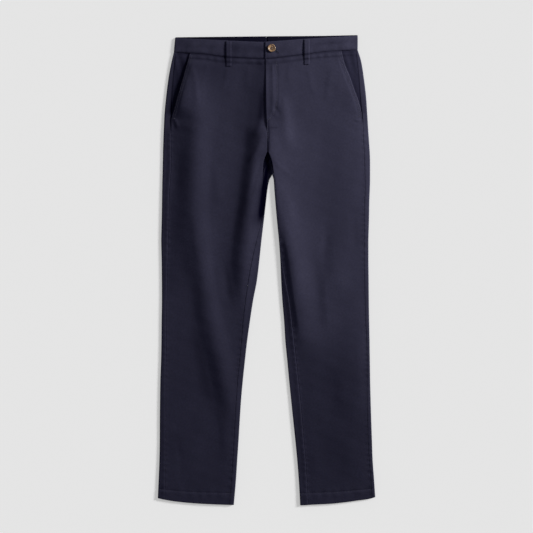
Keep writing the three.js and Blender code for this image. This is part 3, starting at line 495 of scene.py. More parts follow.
# Broad swells that the cloth's shading shows: too shallow for the outline, but they turn the
# cloth to or from the light.
SWELLS = [
    # wearer's right leg: outer side, rise to the fly, inner ridge
    (44, NO_SLOPE, 7.5, 0.2, [(-138, 470), (-145, 340), (-154, 230), (-166, 120), (-172, 20),
     (-168, -90)]),
    (44, NO_SLOPE, 6.5, 0.18, [(-4, 500), (-4, 400), (-5, 320), (-8, 262)]),
    (25, 16, 3.0, 0.18, [(-8, 292), (-12, 232), (-24, 177), (-36, 123), (-44, 68), (-52, 13),
     (-59, -41), (-62, -120)]),
    (34, 40, 1.2, 0.3, [(-118, -170), (-100, -230), (-84, -300), (-72, -380)]),
    # wearer's left leg: inner crest, middle trough and outer side
    (NO_SLOPE, 66, 8.0, 0.12, [(4, 360), (5, 300), (6, 250), (12, 200), (26, 140), (38, 95),
     (48, 40), (58, -41), (70, -110), (78, -170)]),
    (NO_SLOPE, 30, 13.5, 0.22, [(4, 380), (4, 330), (4, 280), (8, 225), (14, 180), (25, 140),
     (38, 95), (51, 40), (63, -30), (74, -90)]),
    (10, NO_SLOPE, 4.2, 0.25, [(34, 112), (40, 85), (50, 40), (61, -41), (72, -110), (80, -170)]),
    (16, 46, 4.0, 0.3, [(139, 60), (137, 10), (137, -50), (141, -110), (144, -165)]),
    (170, NO_SLOPE, 34, 0.25, [(290, -150), (290, -330), (290, -560)]),
    (60, 14, 1.2, 0.3, [(200, 400), (206, 320), (210, 240), (206, 180)]),
    (50, 20, 2.2, 0.3, [(196, -120), (204, -200), (212, -280), (216, -360)]),
]

# Low creases of the underside, which lift it a little off the floor.
UNDER_CREASES = [
    (12, 18, 0.8, 0.3, [(-70, 300), (-90, 210), (-96, 90), (-88, -40)]),
    (16, 10, 0.6, 0.3, [(-168, 200), (-156, 60), (-165, -90)]),
    (14, 20, 0.6, 0.3, [(-118, -150), (-134, -260), (-128, -360)]),
    (9, 14, 0.6, 0.3, [(-170, 262), (-110, 250), (-48, 226)]),
    (16, 11, 0.7, 0.3, [(62, 310), (86, 230), (98, 120), (104, -10)]),
    (11, 17, 0.6, 0.3, [(168, 160), (158, 40), (166, -100)]),
    (18, 12, 0.5, 0.3, [(128, -190), (138, -300), (134, -400)]),
    (12, 8, 0.5, 0.3, [(52, 236), (112, 256), (176, 262)]),
]

# Painted shade: places so deep between folds that hardly any light gets there are painted darker.
# The height is how much of the colour is lost.
PAINTED_SHADE_LINES = [
    # crotch, fly, right pocket, outseams, buttonhole and left pocket
    (2, 2, 0.95, 0.4, [(3.4, 314), (3.4, 285), (3.2, 250)]),
    (6, 9, 1.15, 0.24, [(3, 272), (2, 245), (-2, 215), (-5, 190), (-8.5, 160), (-12, 132),
     (-16, 96)]),
    (19, 0.6, 0.42, 0.08, [(-4, 484), (-4, 400), (-3.5, 338)]),
    (12, 7, 0.6, 0.1, [(-180, 486), (-196, 433), (-209, 387), (-219, 348)]),
    (1.6, 1.6, 0.5, 0.05, [(-207.5, 492), (-213.6, 433), (-217, 380), (-218.4, 310)]),
    (1.6, 1.6, 0.5, 0.05, [(204.4, 498), (210.6, 433), (214, 387), (219.4, 330)]),
    (2.6, 2.6, 0.8, 0.1, [(14, 503.4), (20, 499.8), (28, 495)]),
    (2, 9, 0.3, 0.1, [(174, 484), (195, 433), (212, 387), (220, 352)]),
    # right of the fly down to the thigh, the fly's end, the calf and the band's left end
    (13, 12, 0.42, 0.4, [(-10, 384), (-15, 350), (-25, 318), (-32, 285), (-38, 245), (-46, 178),
     (-57, 123), (-64, 69), (-74, 10)]),
    (8, 6, 0.36, 0.35, [(-9, 430), (-11, 390), (-15, 350), (-24, 315), (-31, 280)]),
    (1.2, 1.4, 0.55, 0.1, [(3.6, 344), (4.2, 322), (5, 296)]),
    (1.5, 2.6, 0.3, 0.3, [(4, 325), (16, 324), (30, 325.5)]),
    (16, 14, 0.32, 0.25, [(-160, -120), (-152, -190), (-140, -255), (-125, -325)]),
    (3, 5, 0.16, 0.3, [(96, 512), (150, 517.5), (200, 521)]),
    # thigh below the fork, right hip and band, then the seams of both halves of the band
    (12, 14, 0.4, 0.3, [(-8, 220), (-14, 180), (-21, 130), (-31, 80)]),
    (26, 56, 0.3, 0.3, [(-196, 466), (-120, 462), (-50, 458)]),
    (14, 14, 0.3, 0.3, [(-110, 508), (-60, 505), (10, 502)]),
    (3.0, 3.4, 0.55, 0.02, [(-207, 495.3), (-150, 492), (-93, 485.2), (-4, 480.8)]),
    (1.6, 2.0, 0.35, 0.02, [(-207, 484), (-150, 480.5), (-93, 473.8), (-8, 469.5)]),
    (1.6, 2.0, 0.28, 0.02, [(2, 469.5), (37, 473.2), (78, 478.5), (146, 486.5), (202, 490)]),
    (3.0, 3.4, 0.45, 0.02, [(-2, 480.8), (37, 484.5), (78, 489.8), (146, 497.8), (206, 501.2)]),
]


def spline(line, count=14):
    """A smooth line through a few points."""
    pts = np.array(line, float)
    u, t = np.linspace(0, 1, len(pts)), np.linspace(0, 1, count)
    return np.column_stack([curve(u, pts[:, 0], t), curve(u, pts[:, 1], t)])


def creases(x, y, lines, tilt=False):
    """Sum of the lines' profiles, or of the slopes across them. Each line runs mainly along one
    axis and is a smooth curve over it; its left flank is the one at smaller x, or at larger y
    when it runs across."""
    total = np.zeros(x.shape)
    for left, right, high, taper, line in lines:
        pts = np.array(line, float)
        runs_down = np.ptp(pts[:, 1]) > np.ptp(pts[:, 0])
        run, side = (y, x) if runs_down else (x, y)
        over, place = (pts[:, 1], pts[:, 0]) if runs_down else (pts[:, 0], pts[:, 1])
        order = np.argsort(over)
        over, place = over[order], place[order]
        wide = FOLD_REACH * max(left, right)
        near = (run > over[0]) & (run < over[-1])
        near &= (side > place.min() - wide) & (side < place.max() + wide)
        if not near.any():
            continue
        r = run[near]
        d = (side[near] - curve(over, place, r)) * (1 if runs_down else -1)
        width = np.where(d < 0, left, right)
        t = (r - over[0]) / (over[-1] - over[0])
        rise = high * ramp(t, 0, taper) * ramp(t, 1, 1 - taper) * bell(d, width)
        total[near] += rise * -2 * d / width ** 2 if tilt else rise
    return total


def unevenness(x, y):
    """Slow, low waves that keep flat cloth from lying dead flat."""
    return (0.16 * np.sin(x / 17.0 + 1.7 * np.sin(y / 61.0)) * np.sin(y / 47.0 + x / 90.0)
            + 0.12 * np.sin(x / 29.0 - y / 38.0 + 2 * np.sin(x / 71.0))
            + 0.05 * np.sin(x / 7.3 + y / 11.7) * np.sin(y / 9.1 - x / 23.0))


def under_relief(x, y, room):
    """Height of the underside over the floor: never below it, and clear of the front."""
    rise = creases(x, y, UNDER_CREASES) + 0.2 + 1.4 * unevenness(x + 61, y + 140)
    return np.minimum(np.clip(rise, 0, 0.9), np.clip(room, 0, None))


def seam_relief(leg, x, y, level):
    """Ridge of the seam allowance and its small puckers along outseam, inseam and hem."""
    total = np.zeros(x.shape)
    outseam = at(leg["outline"], "outseam", level)
    for seam, side, start in ((outseam, leg["out"], OUTSEAM_RIDGE_Y),
                              (inseam_x(leg, level), -leg["out"], INSEAM_RIDGE_Y)):
        d = (x - seam) * side
        ridge = SEAM_RIDGE * bell(d - 3.5, 4.5)
        pucker = SEAM_PUCKER * ripples(y, 2.3, 2.1, 17.0) * bell(d, 5.0)
        total += ramp(level, start, start - 25) * (ridge + pucker * (0.6 + 0.4 * np.sin(y / 41.0)))
    stitch = level - (HEM_Y + HEM_DEPTH - 1)
    hem = HEM_RIDGE * ramp(stitch, 2.5, -3.5) - HEM_GROOVE * bell(stitch, 1.8)
    total += hem + HEM_PUCKER * ripples(x, 4.1, 1.3, 23.0) * bell(stitch + 4, 9.0)
    waist = WAIST_Y - level
    ridge = WAIST_RIDGE * ramp(waist, 0.6, 3.2) * ramp(waist, 11.5, 8.8)
    total += ridge * (0.8 + 0.2 * np.sin(x / 31.0))
    return total + WAIST_PUCKER * ripples(x, 3.7, 1.9, 19.0) * bell(waist - 7, 7.0)


def top_z(leg, x, y):
    """Upper face of the cloth on rows of places x at levels y: the solids' form, taller
    folds and creases."""
    rows = np.atleast_2d(x)
    level = np.broadcast_to(np.atleast_1d(y)[:, None], rows.shape)
    z = sum(weight * np.stack([base_z(leg, xs + shift, ys[0]) for xs, ys in zip(rows, level)])
            for shift, weight in SOFTEN)
    above = np.clip(z - FOLD_BASE, 0, None)
    z = z + ramp(level, *FOLDS_FADE_Y) * above * above / (above + 0.5)
    bent = bend(rows, level, FRONT_WAIST)
    quiet = ramp(level, WAIST_Y - 2, WAIST_Y - 25)
    z = z + quiet * (creases(rows, bent, CREASES) + unevenness(rows, bent))
    z = z + seam_relief(leg, rows, bent, level)
    return np.maximum(z, 2 * CLOTH + SEAM_GAP + lift(level)).reshape(np.shape(x))


def lip_z(leg, top, y):
    """Strip beside the outseam: flat next to the pocket, then level with the front."""
    flush = ramp(y, *STRIP_Y)
    flat = at(leg["folds"], "outerZ", y)
    return flat + (top - flat) * flush


def leg_wall(y):
    """The cloth is doubled in the hem."""
    return np.where(y < HEM_Y + HEM_DEPTH, HEM_WALL, CLOTH)


# Levels of the rows down a leg, a little closer at the seams across it and at its ends.
ROW_ENDS = np.array([0, 0.3, 0.8, 1.6])
ROWS = np.unique(np.round(np.concatenate([
    np.arange(HEM_Y + 3, WAIST_Y - 3, GRID), WAIST_Y - ROW_ENDS, HEM_Y + ROW_ENDS, FLY_STEPS_Y,
    [HEM_Y + HEM_DEPTH + 0.4, HEM_Y + HEM_DEPTH - 0.4],
]), 2))[::-1]


def edge_fall(distance):
    """How far a turned edge falls at a distance from it."""
    return 0.22 * np.clip(1 - distance / 0.6, 0, 1) ** 2


def across(start, end, count):
    """Places from start to end with close steps at both ends and count even ones between."""
    sign = 1 if end > start else -1
    length = abs(end - start)
    middle = np.linspace(EDGE_STEPS[-1], length - EDGE_STEPS[-1], count + 1)[1:-1]
    places = np.concatenate([EDGE_STEPS, middle, length - EDGE_STEPS[::-1]])
    return start + sign * places


def shell(name, outer, inner):
    """A closed mesh between an outer and an inner grid of points, rows by columns. The inner
    side takes the second material."""
    rows, columns = outer.shape[:2]
    points = np.concatenate([outer.reshape(-1, 3), inner.reshape(-1, 3)]) / 1000
    o = np.arange(rows * columns).reshape(rows, columns)
    n = o + rows * columns

    def quads(a):
        return np.stack([a[:-1, :-1], a[1:, :-1], a[1:, 1:], a[:-1, 1:]], -1).reshape(-1, 4)

    def strip(a, b):
        return np.stack([a[:-1], b[:-1], b[1:], a[1:]], -1)

    faces = np.concatenate([
        quads(o), quads(n)[:, ::-1],
        strip(o[:, 0], n[:, 0]), strip(n[:, -1], o[:, -1]),
        strip(n[0], o[0]), strip(o[-1], n[-1]),
    ])
    mesh = bpy.data.meshes.new(name)
    mesh.vertices.add(len(points))
    mesh.vertices.foreach_set("co", points.ravel())
    mesh.loops.add(faces.size)
    mesh.loops.foreach_set("vertex_index", faces.ravel())
    mesh.polygons.add(len(faces))
    mesh.polygons.foreach_set("loop_start", np.arange(0, faces.size, 4))
    mesh.polygons.foreach_set("loop_total", np.full(len(faces), 4))
    mesh.update(calc_edges=True)
    inside = (rows - 1) * (columns - 1)
    side = np.zeros(len(faces), int)
    side[inside:2 * inside] = 1
    mesh.polygons.foreach_set("material_index", side)
    return finish_mesh(name, mesh)


def shade_folds(mesh):
    """Vertex normals of cloth: its slopes exaggerated and its broad swells added. Also keeps the
    painted shade of its deepest hollows as an attribute.
    """
    count = len(mesh.vertices)
    normals, place = np.empty(count * 3), np.empty(count * 3)
    mesh.vertices.foreach_get("normal", normals)
    mesh.vertices.foreach_get("co", place)
    normals = normals.reshape(-1, 3)
    x, y = place.reshape(-1, 3).T[:2] * 1000
    flat = ramp(normals[:, 2], *FLAT_TILT)
    normals[:, :2] *= 1 + (SLOPE_GAIN - 1) * ramp(np.abs(normals[:, 2:]), *FLAT_TILT)
    normals[:, 0] -= creases(x, y, SWELLS, tilt=True) * flat
    normals /= np.linalg.norm(normals, axis=1)[:, None]
    mesh.normals_split_custom_set_from_vertices(normals.tolist())
    # Painted shade: how much of the colour is lost where hardly any light gets.
    painted_shade_amount = mesh.attributes.new("painted_shade_amount", "FLOAT", "POINT")
    painted_shade_amount.data.foreach_set("value", np.clip(creases(x, y, PAINTED_SHADE_LINES), 0, 1))


def finish_mesh(name, mesh):
    """A smooth object in the scene, its faces turned outwards."""
    work = bmesh.new()
    work.from_mesh(mesh)
    bmesh.ops.recalc_face_normals(work, faces=work.faces)
    work.to_mesh(mesh)
    work.free()
    mesh.polygons.foreach_set("use_smooth", np.full(len(mesh.polygons), True))
    if name.endswith("_cloth"):
        shade_folds(mesh)
    piece = bpy.data.objects.new(name, mesh)
    bpy.context.scene.collection.objects.link(piece)
    return piece


def front_leg(name, leg):
    """Front panel, from the pocket mouth or the outseam to the inseam."""
    widest = abs(leg["outline"]["outseam"] - leg["outline"]["inseam"]).max()
    x, ends = [], []
    for y in ROWS:
        seam = float(at(leg["outline"], "outseam", y)) - leg["out"] * SEAM_GAP
        start = float(at(leg["pocket"], "mouth", y)) if y > FLY_END_Y else seam
        end = float(inseam_x(leg, y))
        x.append(across(start, end, round(widest / GRID)))
        ends.append((start, end))
    x, ends = np.array(x), np.array(ends)
    level = np.broadcast_to(ROWS[:, None], x.shape)
    from_side = np.minimum(abs(x - ends[:, :1]), abs(x - ends[:, 1:]))
    from_end = np.minimum(WAIST_Y - level, level - HEM_Y)
    falls = np.maximum(edge_fall(from_side), edge_fall(from_end))
    z = top_z(leg, x, ROWS)
    bent = bend(x, level, FRONT_WAIST)
    outer = np.stack([x, bent, z - falls], -1)
    inner = np.stack([x, bent, z - np.maximum(leg_wall(level), falls + LEAST_WALL)], -1)
    return shell(name, outer, inner)


# Shares of the floor part and of the inner lip at which the back panel's sections have points.
FLOOR_SHARES = np.linspace(0, 1, 26)[1:-1]
LIP_SHARES = np.array([0, 0.15, 0.3, 0.45, 0.6, 0.75, 0.87, 0.94, 1])


def stations(x, plain, nx, nz, on_top=0, on_lip=0, fall=0, over=0):
    """Points of a section: place, plain height, normal, weights of the front's upper face and of
    the lip in it, fall at an edge, and how far each belongs to the front."""
    return np.stack(np.broadcast_arrays(x, plain, on_top, on_lip, fall, nx, nz, over))


def inner_section(leg, y, floor):
    """Where the floor part ends, and the turn round the inner fold to the inseam. Above the
    crotch it is unrolled to a short end."""
    out, r = leg["out"], float(inner_radius(leg, y))
    fold = float(at(leg["outline"], "innerFold", y))
    seam = float(inseam_x(leg, y)) - out * SEAM_GAP
    turned = float(ramp(y, CROTCH_Y, FORK_Y))
    lip = max(SHORTEST_LIP, out * (seam - fold) - r)
    turn = math.pi * r
    full = turn + lip
    length = SEAT_END + (full - SEAT_END) * turned
    centre = fold + out * r * math.sin(min(length / r, math.pi / 2))
    sunk = INNER_SUNK * float(ramp(y, *SUNK_LOW_Y) * ramp(y, *SUNK_HIGH_Y)) if out < 0 else 0
    marks = np.concatenate([np.linspace(0, turn, 11)[:-1], turn + lip * LIP_SHARES])
    s = marks / full * length
    a = np.minimum(s / r, math.pi)
    return centre, stations(
        centre - out * (r * np.sin(a) - np.clip(s - turn, 0, None)),
        floor + (r - r * np.cos(a)) * (1 - SUNK_SHARE * sunk), -out * np.sin(a), -np.cos(a),
        on_top=ramp(a, math.pi / 2, math.pi) * (turned >= 1) * (1 - sunk),
        fall=edge_fall(full - marks) * turned, over=np.clip(-np.cos(a), 0, 1))


def section(leg, y, centre, crest):
    """The back panel at one level: lip beside the outseam, outer fold, floor and inner turn."""
    out, floor = leg["out"], float(lift(y))
    seam = float(at(leg["outline"], "outseam", y))
    far = abs(centre - seam)
    lip = np.concatenate([np.minimum(EDGE_STEPS, 0.3 * far),
                          np.linspace(min(EDGE_STEPS[-1], 0.3 * far), far, 7)[1:-1]])
    a = np.linspace(math.pi / 2, -math.pi / 2, 11)
    rise = (1 + np.sin(a)) / 2
    floor_end, inner = inner_section(leg, y, floor)
    return [
        stations(seam + out * lip, 0, 0, 1, on_top=1, on_lip=1, fall=edge_fall(lip), over=1),
        stations(centre + out * float(outer_radius(leg, y)) * np.cos(a),
                 floor + (crest - floor) * rise, out * np.cos(a), np.sin(a), over=rise),
        stations(centre + (floor_end - centre) * FLOOR_SHARES, floor, 0, -1),
        inner,
    ]


def back_leg(name, leg):
    centres = at(leg["outline"], "outerFold", ROWS) - leg["out"] * outer_radius(leg, ROWS)
    crests = lip_z(leg, top_z(leg, centres[:, None], ROWS)[:, 0], ROWS)
    sections = [section(leg, *row) for row in zip(ROWS, centres, crests)]
    rows = np.array([np.concatenate(parts, 1) for parts in sections])
    x, plain, on_top, on_lip, falls, nx, nz, over = np.moveaxis(rows, 1, 0)
    level = np.broadcast_to(ROWS[:, None], x.shape)
    top = top_z(leg, x, ROWS)
    top = np.where(on_lip > 0, lip_z(leg, top, level), top)
    z = plain + (top - plain) * on_top - falls
    bent = bend(x, level, FRONT_WAIST) * over + bend(x, level, BACK_WAIST) * (1 - over)
    t = leg_wall(level)
    first = sections[0][0].shape[1] + sections[0][1].shape[1]
    under = slice(first, first + len(FLOOR_SHARES))
    room = top[:, under] - 2 * t[:, under] - 0.1
    fade = np.sin(math.pi * FLOOR_SHARES) ** 0.5 * ramp(level[:, under], WAIST_Y, WAIST_Y - 30)
    z[:, under] += fade * under_relief(x[:, under], bent[:, under], room)
    outer = np.stack([x, bent, z], -1)
    inner = np.stack([x - t * nx, bent, z - t * nz], -1)
    return shell(name, outer, inner)


def pocket_facing(name, leg):
    """The strip behind a pocket mouth, from the outseam to a little under the front."""
    outer, inner = [], []
    out = leg["out"]
    for y in np.linspace(WAIST_Y, FACING_END_Y, 46):
        seam = float(at(leg["outline"], "outseam", y)) - out * SEAM_GAP
        mouth = float(at(leg["pocket"], "mouth", y))
        x = across(seam, mouth - out * FACING_UNDER, 14)
        t = np.clip((x - seam) / (mouth - seam), 0, 1)
        high = float(at(leg["folds"], "outerZ", y))
        low = float(at(leg["pocket"], "facingZ", y))
        bent = bend(x, np.full(x.shape, y), FRONT_WAIST)
        z = high + (low - high) * t + 0.22 * np.sin(x / 3.1 + bent / 14) * np.sin(bent / 29 + 1)
        outer.append(np.column_stack([x, bent, z - edge_fall(abs(x - seam))]))
        inner.append(np.column_stack([x, bent, z - CLOTH]))
    return shell(name, np.array(outer), np.array(inner))


def fly_shield(name):
    """The hidden underlap of the fly."""
    outer, inner = [], []
    for y in np.linspace(WAIST_Y, FLY_SHIELD_END_Y, 30):
        start = float(at(RIGHT_OUTLINE, "inseam", y)) + SEAM_GAP
        end = float(at(LEFT_OUTLINE, "inseam", y)) + FLY_SHIELD_WIDTH
        x = np.linspace(start, end, 14)
        z = np.minimum(FLY_SHIELD_TOP_Z, base_z(LEFT, x, y) - FLY_SHIELD_UNDER)
        bent = bend(x, np.full(x.shape, y), FRONT_WAIST)
        outer.append(np.column_stack([x, bent, z]))
        inner.append(np.column_stack([x, bent, z - CLOTH]))
    return shell(name, np.array(outer), np.array(inner))


def band_relief(x, part):
    """Crowned section of the doubled band, with long ripples along it and faint pulls across."""
    crown = BAND_CROWN * (1 - (2 * part - 1) ** 4)
    ripple = 0.2 * np.sin(11 * part + 1.4 * np.sin(x / 37.0)) * (0.5 + 0.5 * np.sin(x / 23.0 + 1))
    pull = 0.13 * np.sin(x / 9.0 + 3 * part) + 0.09 * np.sin(x / 4.3 - 5 * part)
    tuck = 0.14 * ripples(x, 2.6, 2.2, 15.0) * math.exp(-part / 0.16)
    return crown - BAND_CROWN + (ripple + pull) * np.sin(math.pi * part) + tuck * min(1, 12 * part)


def waistband(name, leg, front, back_end, front_end, fold):
    """Half of the doubled band: along the floor from the back seam, round the side fold, and
    along the front to its end."""
    out = leg["out"]
    fold_top, fold_low = fold
    side_z = front["z"][-1] if out > 0 else front["z"][0]
    r = (side_z - LOOP_LIFT) / 2
    centre = fold_top - out * r
    a = np.linspace(-math.pi / 2, math.pi / 2, 15)
    x_floor = np.linspace(back_end, centre, 60)[:-1]
    x_front = across(centre, front_end, round(abs(front_end - centre) / BAND_GRID))[1:]
    x = np.concatenate([x_floor, centre + out * r * np.cos(a), x_front])
    z = np.concatenate([np.full(x_floor.shape, LOOP_LIFT), LOOP_LIFT + r + r * np.sin(a),
                        at(front, "z", x_front)])
    nx = np.concatenate([0 * x_floor, out * np.cos(a), 0 * x_front])
    nz = np.concatenate([0 * x_floor - 1, np.sin(a), 0 * x_front + 1])
    over = np.concatenate([0 * x_floor, (1 + np.sin(a)) / 2, 0 * x_front + 1])
    end_fall = edge_fall(abs(x - front_end)) * over
    low_back = WAIST_Y + at(BACK_WAIST, "dy", x) + BAND_GAP
    low_front = WAIST_Y + at(FRONT_WAIST, "dy", x) + BAND_GAP
    low = low_back + (low_front - low_back) * over
    high_back, high_front = at(BAND_BACK, "top", x), at(front, "top", x)
    high = high_back + (high_front - high_back) * over
    outer, inner = [], []
    for part in BAND_PARTS:
        flare = (fold_low - fold_top) * (1 - part) * ramp(abs(x), *BAND_FLARE_X)
        y = low + (high - low) * part
        fall = np.maximum(edge_fall(BAND_DEPTH * min(part, 1 - part)), end_fall)
        rise = band_relief(x, part) * over - fall
        outer.append(np.column_stack([x + flare + rise * nx, y, z + rise * nz]))
        inner.append(np.column_stack([x + flare - BAND_WALL * nx, y, z - BAND_WALL * nz]))
    return shell(name, np.array(outer), np.array(inner))


def belt_loop(name, x, path, widths, top, low):
    """A folded strip along a path of (y, z) under its middle: its points lie at these shares of
    its half width, and its upper and lower face at these heights."""
    offsets = np.array(widths) * LOOP_WIDTH / 2
    faces = []
    for face in (top, low):
        faces.append([np.column_stack([x + offsets, np.full(len(widths), y), z + np.array(face)])
                      for y, z in path])
    return shell(name, *np.array(faces))


def front_loop(name, x, leg, front):
    """A loop that stands off the band between its two sewn ends."""
    top = float(at(front, "top", x)) - FRONT_LOOP_INSET
    seam = WAIST_Y + float(at(FRONT_WAIST, "dy", x))
    path = []
    for t in np.linspace(0, 1, 44):
        y = top - LOOP_LENGTH * t
        spots = x + LOOP_WIDTH * np.array([-0.5, -0.25, 0, 0.25, 0.5])
        if y > seam:
            under = at(front, "z", spots).max() + 0.1
        else:
            under = top_z(leg, spots[None], WAIST_Y + min(-1.0, y - seam)).max()
        arch = LOOP_ARCH * math.sin(math.pi * min(1, t / LOOP_ARCH_PART)) ** 0.7
        path.append((y, float(under) + 0.12 + arch))
    heights = np.array([z for _, z in path])
    smooth = np.convolve(np.pad(heights, 2, mode="edge"), np.ones(5) / 5, mode="valid")
    path = [(y, max(z, s)) for (y, z), s in zip(path, smooth)]
    widths = [-1, -0.97, -0.9, -0.7, -0.35, 0, 0.35, 0.7, 0.9, 0.97, 1]
    crown = [0.55, 0.85, 1.05, 1.2, 1.12, 1.15, 1.12, 1.2, 1.05, 0.85, 0.55]
    return belt_loop(name, x, path, widths, crown, [0] * len(widths))


def back_loop(name, x):
    """A loop that lies flat under the band, its rounded face down."""
    top = float(at(BAND_BACK, "top", x)) - BACK_LOOP_INSET
    path = [(y, 0) for y in np.linspace(top, top - LOOP_LENGTH, 20)]
    widths = [-1, -0.97, -0.9, -0.5, 0, 0.5, 0.9, 0.97, 1]
    low = [0.4, 0.15, 0, 0, 0, 0, 0, 0.15, 0.4]
    return belt_loop(name, x, path, widths, [BACK_LOOP_HEIGHT] * len(widths), low)


def on_button(u, v):
    """Place of a point given along and across the buttonhole, from the button's middle."""
    c, s = math.cos(SLIT_ANGLE), math.sin(SLIT_ANGLE)
    return BUTTON_AT[0] + (u * c - v * s), BUTTON_AT[1] + (u * s + v * c)


def button_base():
    return float(at(BAND_OVERLAP, "z", BUTTON_AT[0])) + BUTTON_LIFT


def button_piece(name):
    """A four-hole button as a fine height field, its flat back a little off the band."""
    g = np.linspace(-1, 1, BUTTON_GRID)
    u, v = np.meshgrid(g, g, indexing="ij")
    x, y = u * np.sqrt(1 - v * v / 2), v * np.sqrt(1 - u * u / 2)
    r = np.hypot(x, y)
    high = curve(*np.array(BUTTON_FACE).T, r)
    high += 0.03 * np.sin(9 * x + 4 * y) * np.sin(7 * y - 3 * x)
    for sx in (-1, 1):
        for sy in (-1, 1):
            d = np.hypot(x * BUTTON_RADIUS - sx * HOLE_OFFSET, y * BUTTON_RADIUS - sy * HOLE_OFFSET)
            high -= HOLE_DEPTH * ramp(d, *HOLE_RADIUS)
    low = 0.9 * np.clip((r - 0.8) / 0.2, 0, 1) ** 2
    bx, by = on_button(BUTTON_RADIUS * x, BUTTON_RADIUS * y)
    base = button_base()
    return shell(name, np.stack([bx, by, base + high], -1), np.stack([bx, by, base + low], -1))


# Bar tacks: leg, middle, direction and length. They close the fly, the pockets and the loops.
BAR_TACKS = [
    (LEFT, (6.5, 343.5), (1, 0.15), 7),
    (RIGHT, (-210.5, 345.0), (1, 0.1), 5),
    (LEFT, (212.0, 350.0), (1, -0.1), 5),
    (RIGHT, (FRONT_LOOP_X[0], WAIST_Y - 17.5), (1, 0), 9),
    (LEFT, (FRONT_LOOP_X[1], WAIST_Y - 17.5), (1, 0), 9),
]
# Sewing threads, gathered in one list of (start, end, radius) in millimetres.
THREADS = []


def capsule_mesh(name, threads, sides=6):
    """Short rounded threads as one mesh, a little thicker in the middle."""
    points, faces = [], []
    profile = [(0, 0.25), (0.12, 0.8), (0.5, 1.0), (0.88, 0.8), (1, 0.25)]
    for a, b, radius in threads:
        a, b = Vector(a), Vector(b)
        along_it = (b - a).normalized()
        side = along_it.cross(Vector((0, 0, 1))).normalized()
        up = side.cross(along_it)
        base = len(points)
        for t, k in profile:
            for i in range(sides):
                turn = 2 * math.pi * i / sides
                ring = side * math.cos(turn) + up * math.sin(turn)
                points.append((a + (b - a) * t + ring * radius * k) / 1000)
        for j in range(len(profile) - 1):
            for i in range(sides):
                n = (i + 1) % sides
                o = base + j * sides
                faces.append((o + i, o + n, o + sides + n, o + sides + i))
        last = base + (len(profile) - 1) * sides
        faces.append(tuple(base + i for i in reversed(range(sides))))
        faces.append(tuple(last + i for i in range(sides)))
    mesh = bpy.data.meshes.new(name)
    mesh.from_pydata([tuple(p) for p in points], [], faces)
    return finish_mesh(name, mesh)


def stitch_line(path, pitch=3.2, length=2.5, radius=0.24, sink=0.02):
    """Stitches along a line of surface points (x, y, z), evenly spaced."""
    pts = np.array(path, float)
    gaps = np.linalg.norm(np.diff(pts, axis=0), axis=1)
    s = np.concatenate([[0], np.cumsum(gaps)])
    starts = np.arange(0.4, s[-1] - length, pitch)
    for start in starts:
        ends = [[float(np.interp(start + d, s, pts[:, i])) for i in range(3)] for d in (0, length)]
        for end in ends:
            end[2] -= sink
        THREADS.append((ends[0], ends[1], radius))


def on_front(leg, line):
    """Surface points under a line of (x, level) on a leg's front."""
    x, y = np.array(line, float).T
    z = top_z(leg, x[:, None], y)[:, 0]
    return list(zip(x.tolist(), bend(x, y, FRONT_WAIST).tolist(), z.tolist()))


def bar_tack(leg, middle, direction, length, width=1.8):
    """A dense short row of stitches across a seam's end."""
    d = np.array(direction, float) / np.hypot(*direction)
    n = np.array([-d[1], d[0]])
    for t in np.linspace(-0.5, 0.5, max(4, round(length / 0.8))):
        ends = [np.array(middle) + d * length * t + n * width * k for k in (-0.5, 0.5)]
        a, b = on_front(leg, ends)
        high = max(a[2], b[2]) + 0.1
        THREADS.append(((a[0], a[1], high), (b[0], b[1], high), TACK_RADIUS))


def sew_leg(leg):
    """Hem stitches all round and two rows along the pocket mouth."""
    out, outline, level = leg["out"], leg["outline"], HEM_Y + HEM_STITCH_UP
    start = float(at(outline, "outerFold", level)) - out * HEM_STITCH_INSET
    end = float(at(outline, "innerFold", level)) + out * HEM_STITCH_INSET
    places = np.linspace(start, end, 60)
    stitch_line(on_front(leg, [(x, level) for x in places]))
    stitch_line([(x, float(bend(x, level, BACK_WAIST)), 0.1) for x in places], sink=0.0)
    levels = np.linspace(WAIST_Y - 2, FACING_END_Y, 40)
    for inset in MOUTH_STITCH_INSETS:
        stitch_line(on_front(leg, [(float(at(leg["pocket"], "mouth", y)) - out * inset, y)
                                   for y in levels]))


def sew():
    sew_leg(RIGHT)
    sew_leg(LEFT)
    stitch_line(on_front(LEFT, spline(FLY_STITCHES, 60)), sink=-0.15)
    seat = [(float(at(LEFT["outline"], "inseam", y)) + SEAT_STITCH_OFFSET, y)
            for y in np.linspace(*SEAT_STITCH_Y, 30)]
    stitch_line(on_front(LEFT, seat), sink=-0.1)
    for leg, *tack in BAR_TACKS:
        bar_tack(leg, *tack)
    for u in np.arange(*SLIT_SPAN, WHIP_PITCH):
        for side in (-1, 1):
            ends = [on_button(u, side * reach) for reach in WHIP_REACH]
            a, b = ((x, y, float(at(BAND_OVERLAP, "z", x)) + 0.12) for x, y in ends)
            THREADS.append((a, b, WHIP_RADIUS))


def thread_cross():
    """The button's sewing: strands over the dish between its holes, and the shank below."""
    base, strands = button_base(), []
    for row in (-HOLE_OFFSET, HOLE_OFFSET):
        for shift in (-0.45, 0, 0.45):
            ends = [on_button(u, row + shift) for u in (-HOLE_OFFSET, HOLE_OFFSET)]
            a, b = ((x, y, base + STRAND_HEIGHT) for x, y in ends)
            strands.append((a, b, STRAND_RADIUS))
    low = float(at(BAND_FRONT, "z", BUTTON_AT[0])) + 0.2
    for k in range(SHANK_STRANDS):
        a = 2 * math.pi * k / SHANK_STRANDS
        x = BUTTON_AT[0] + SHANK_RADIUS * math.cos(a)
        y = BUTTON_AT[1] + SHANK_RADIUS * math.sin(a)
        strands.append(((x, y, low), (x, y + 0.01, base + 0.6), 0.5))
    return strands


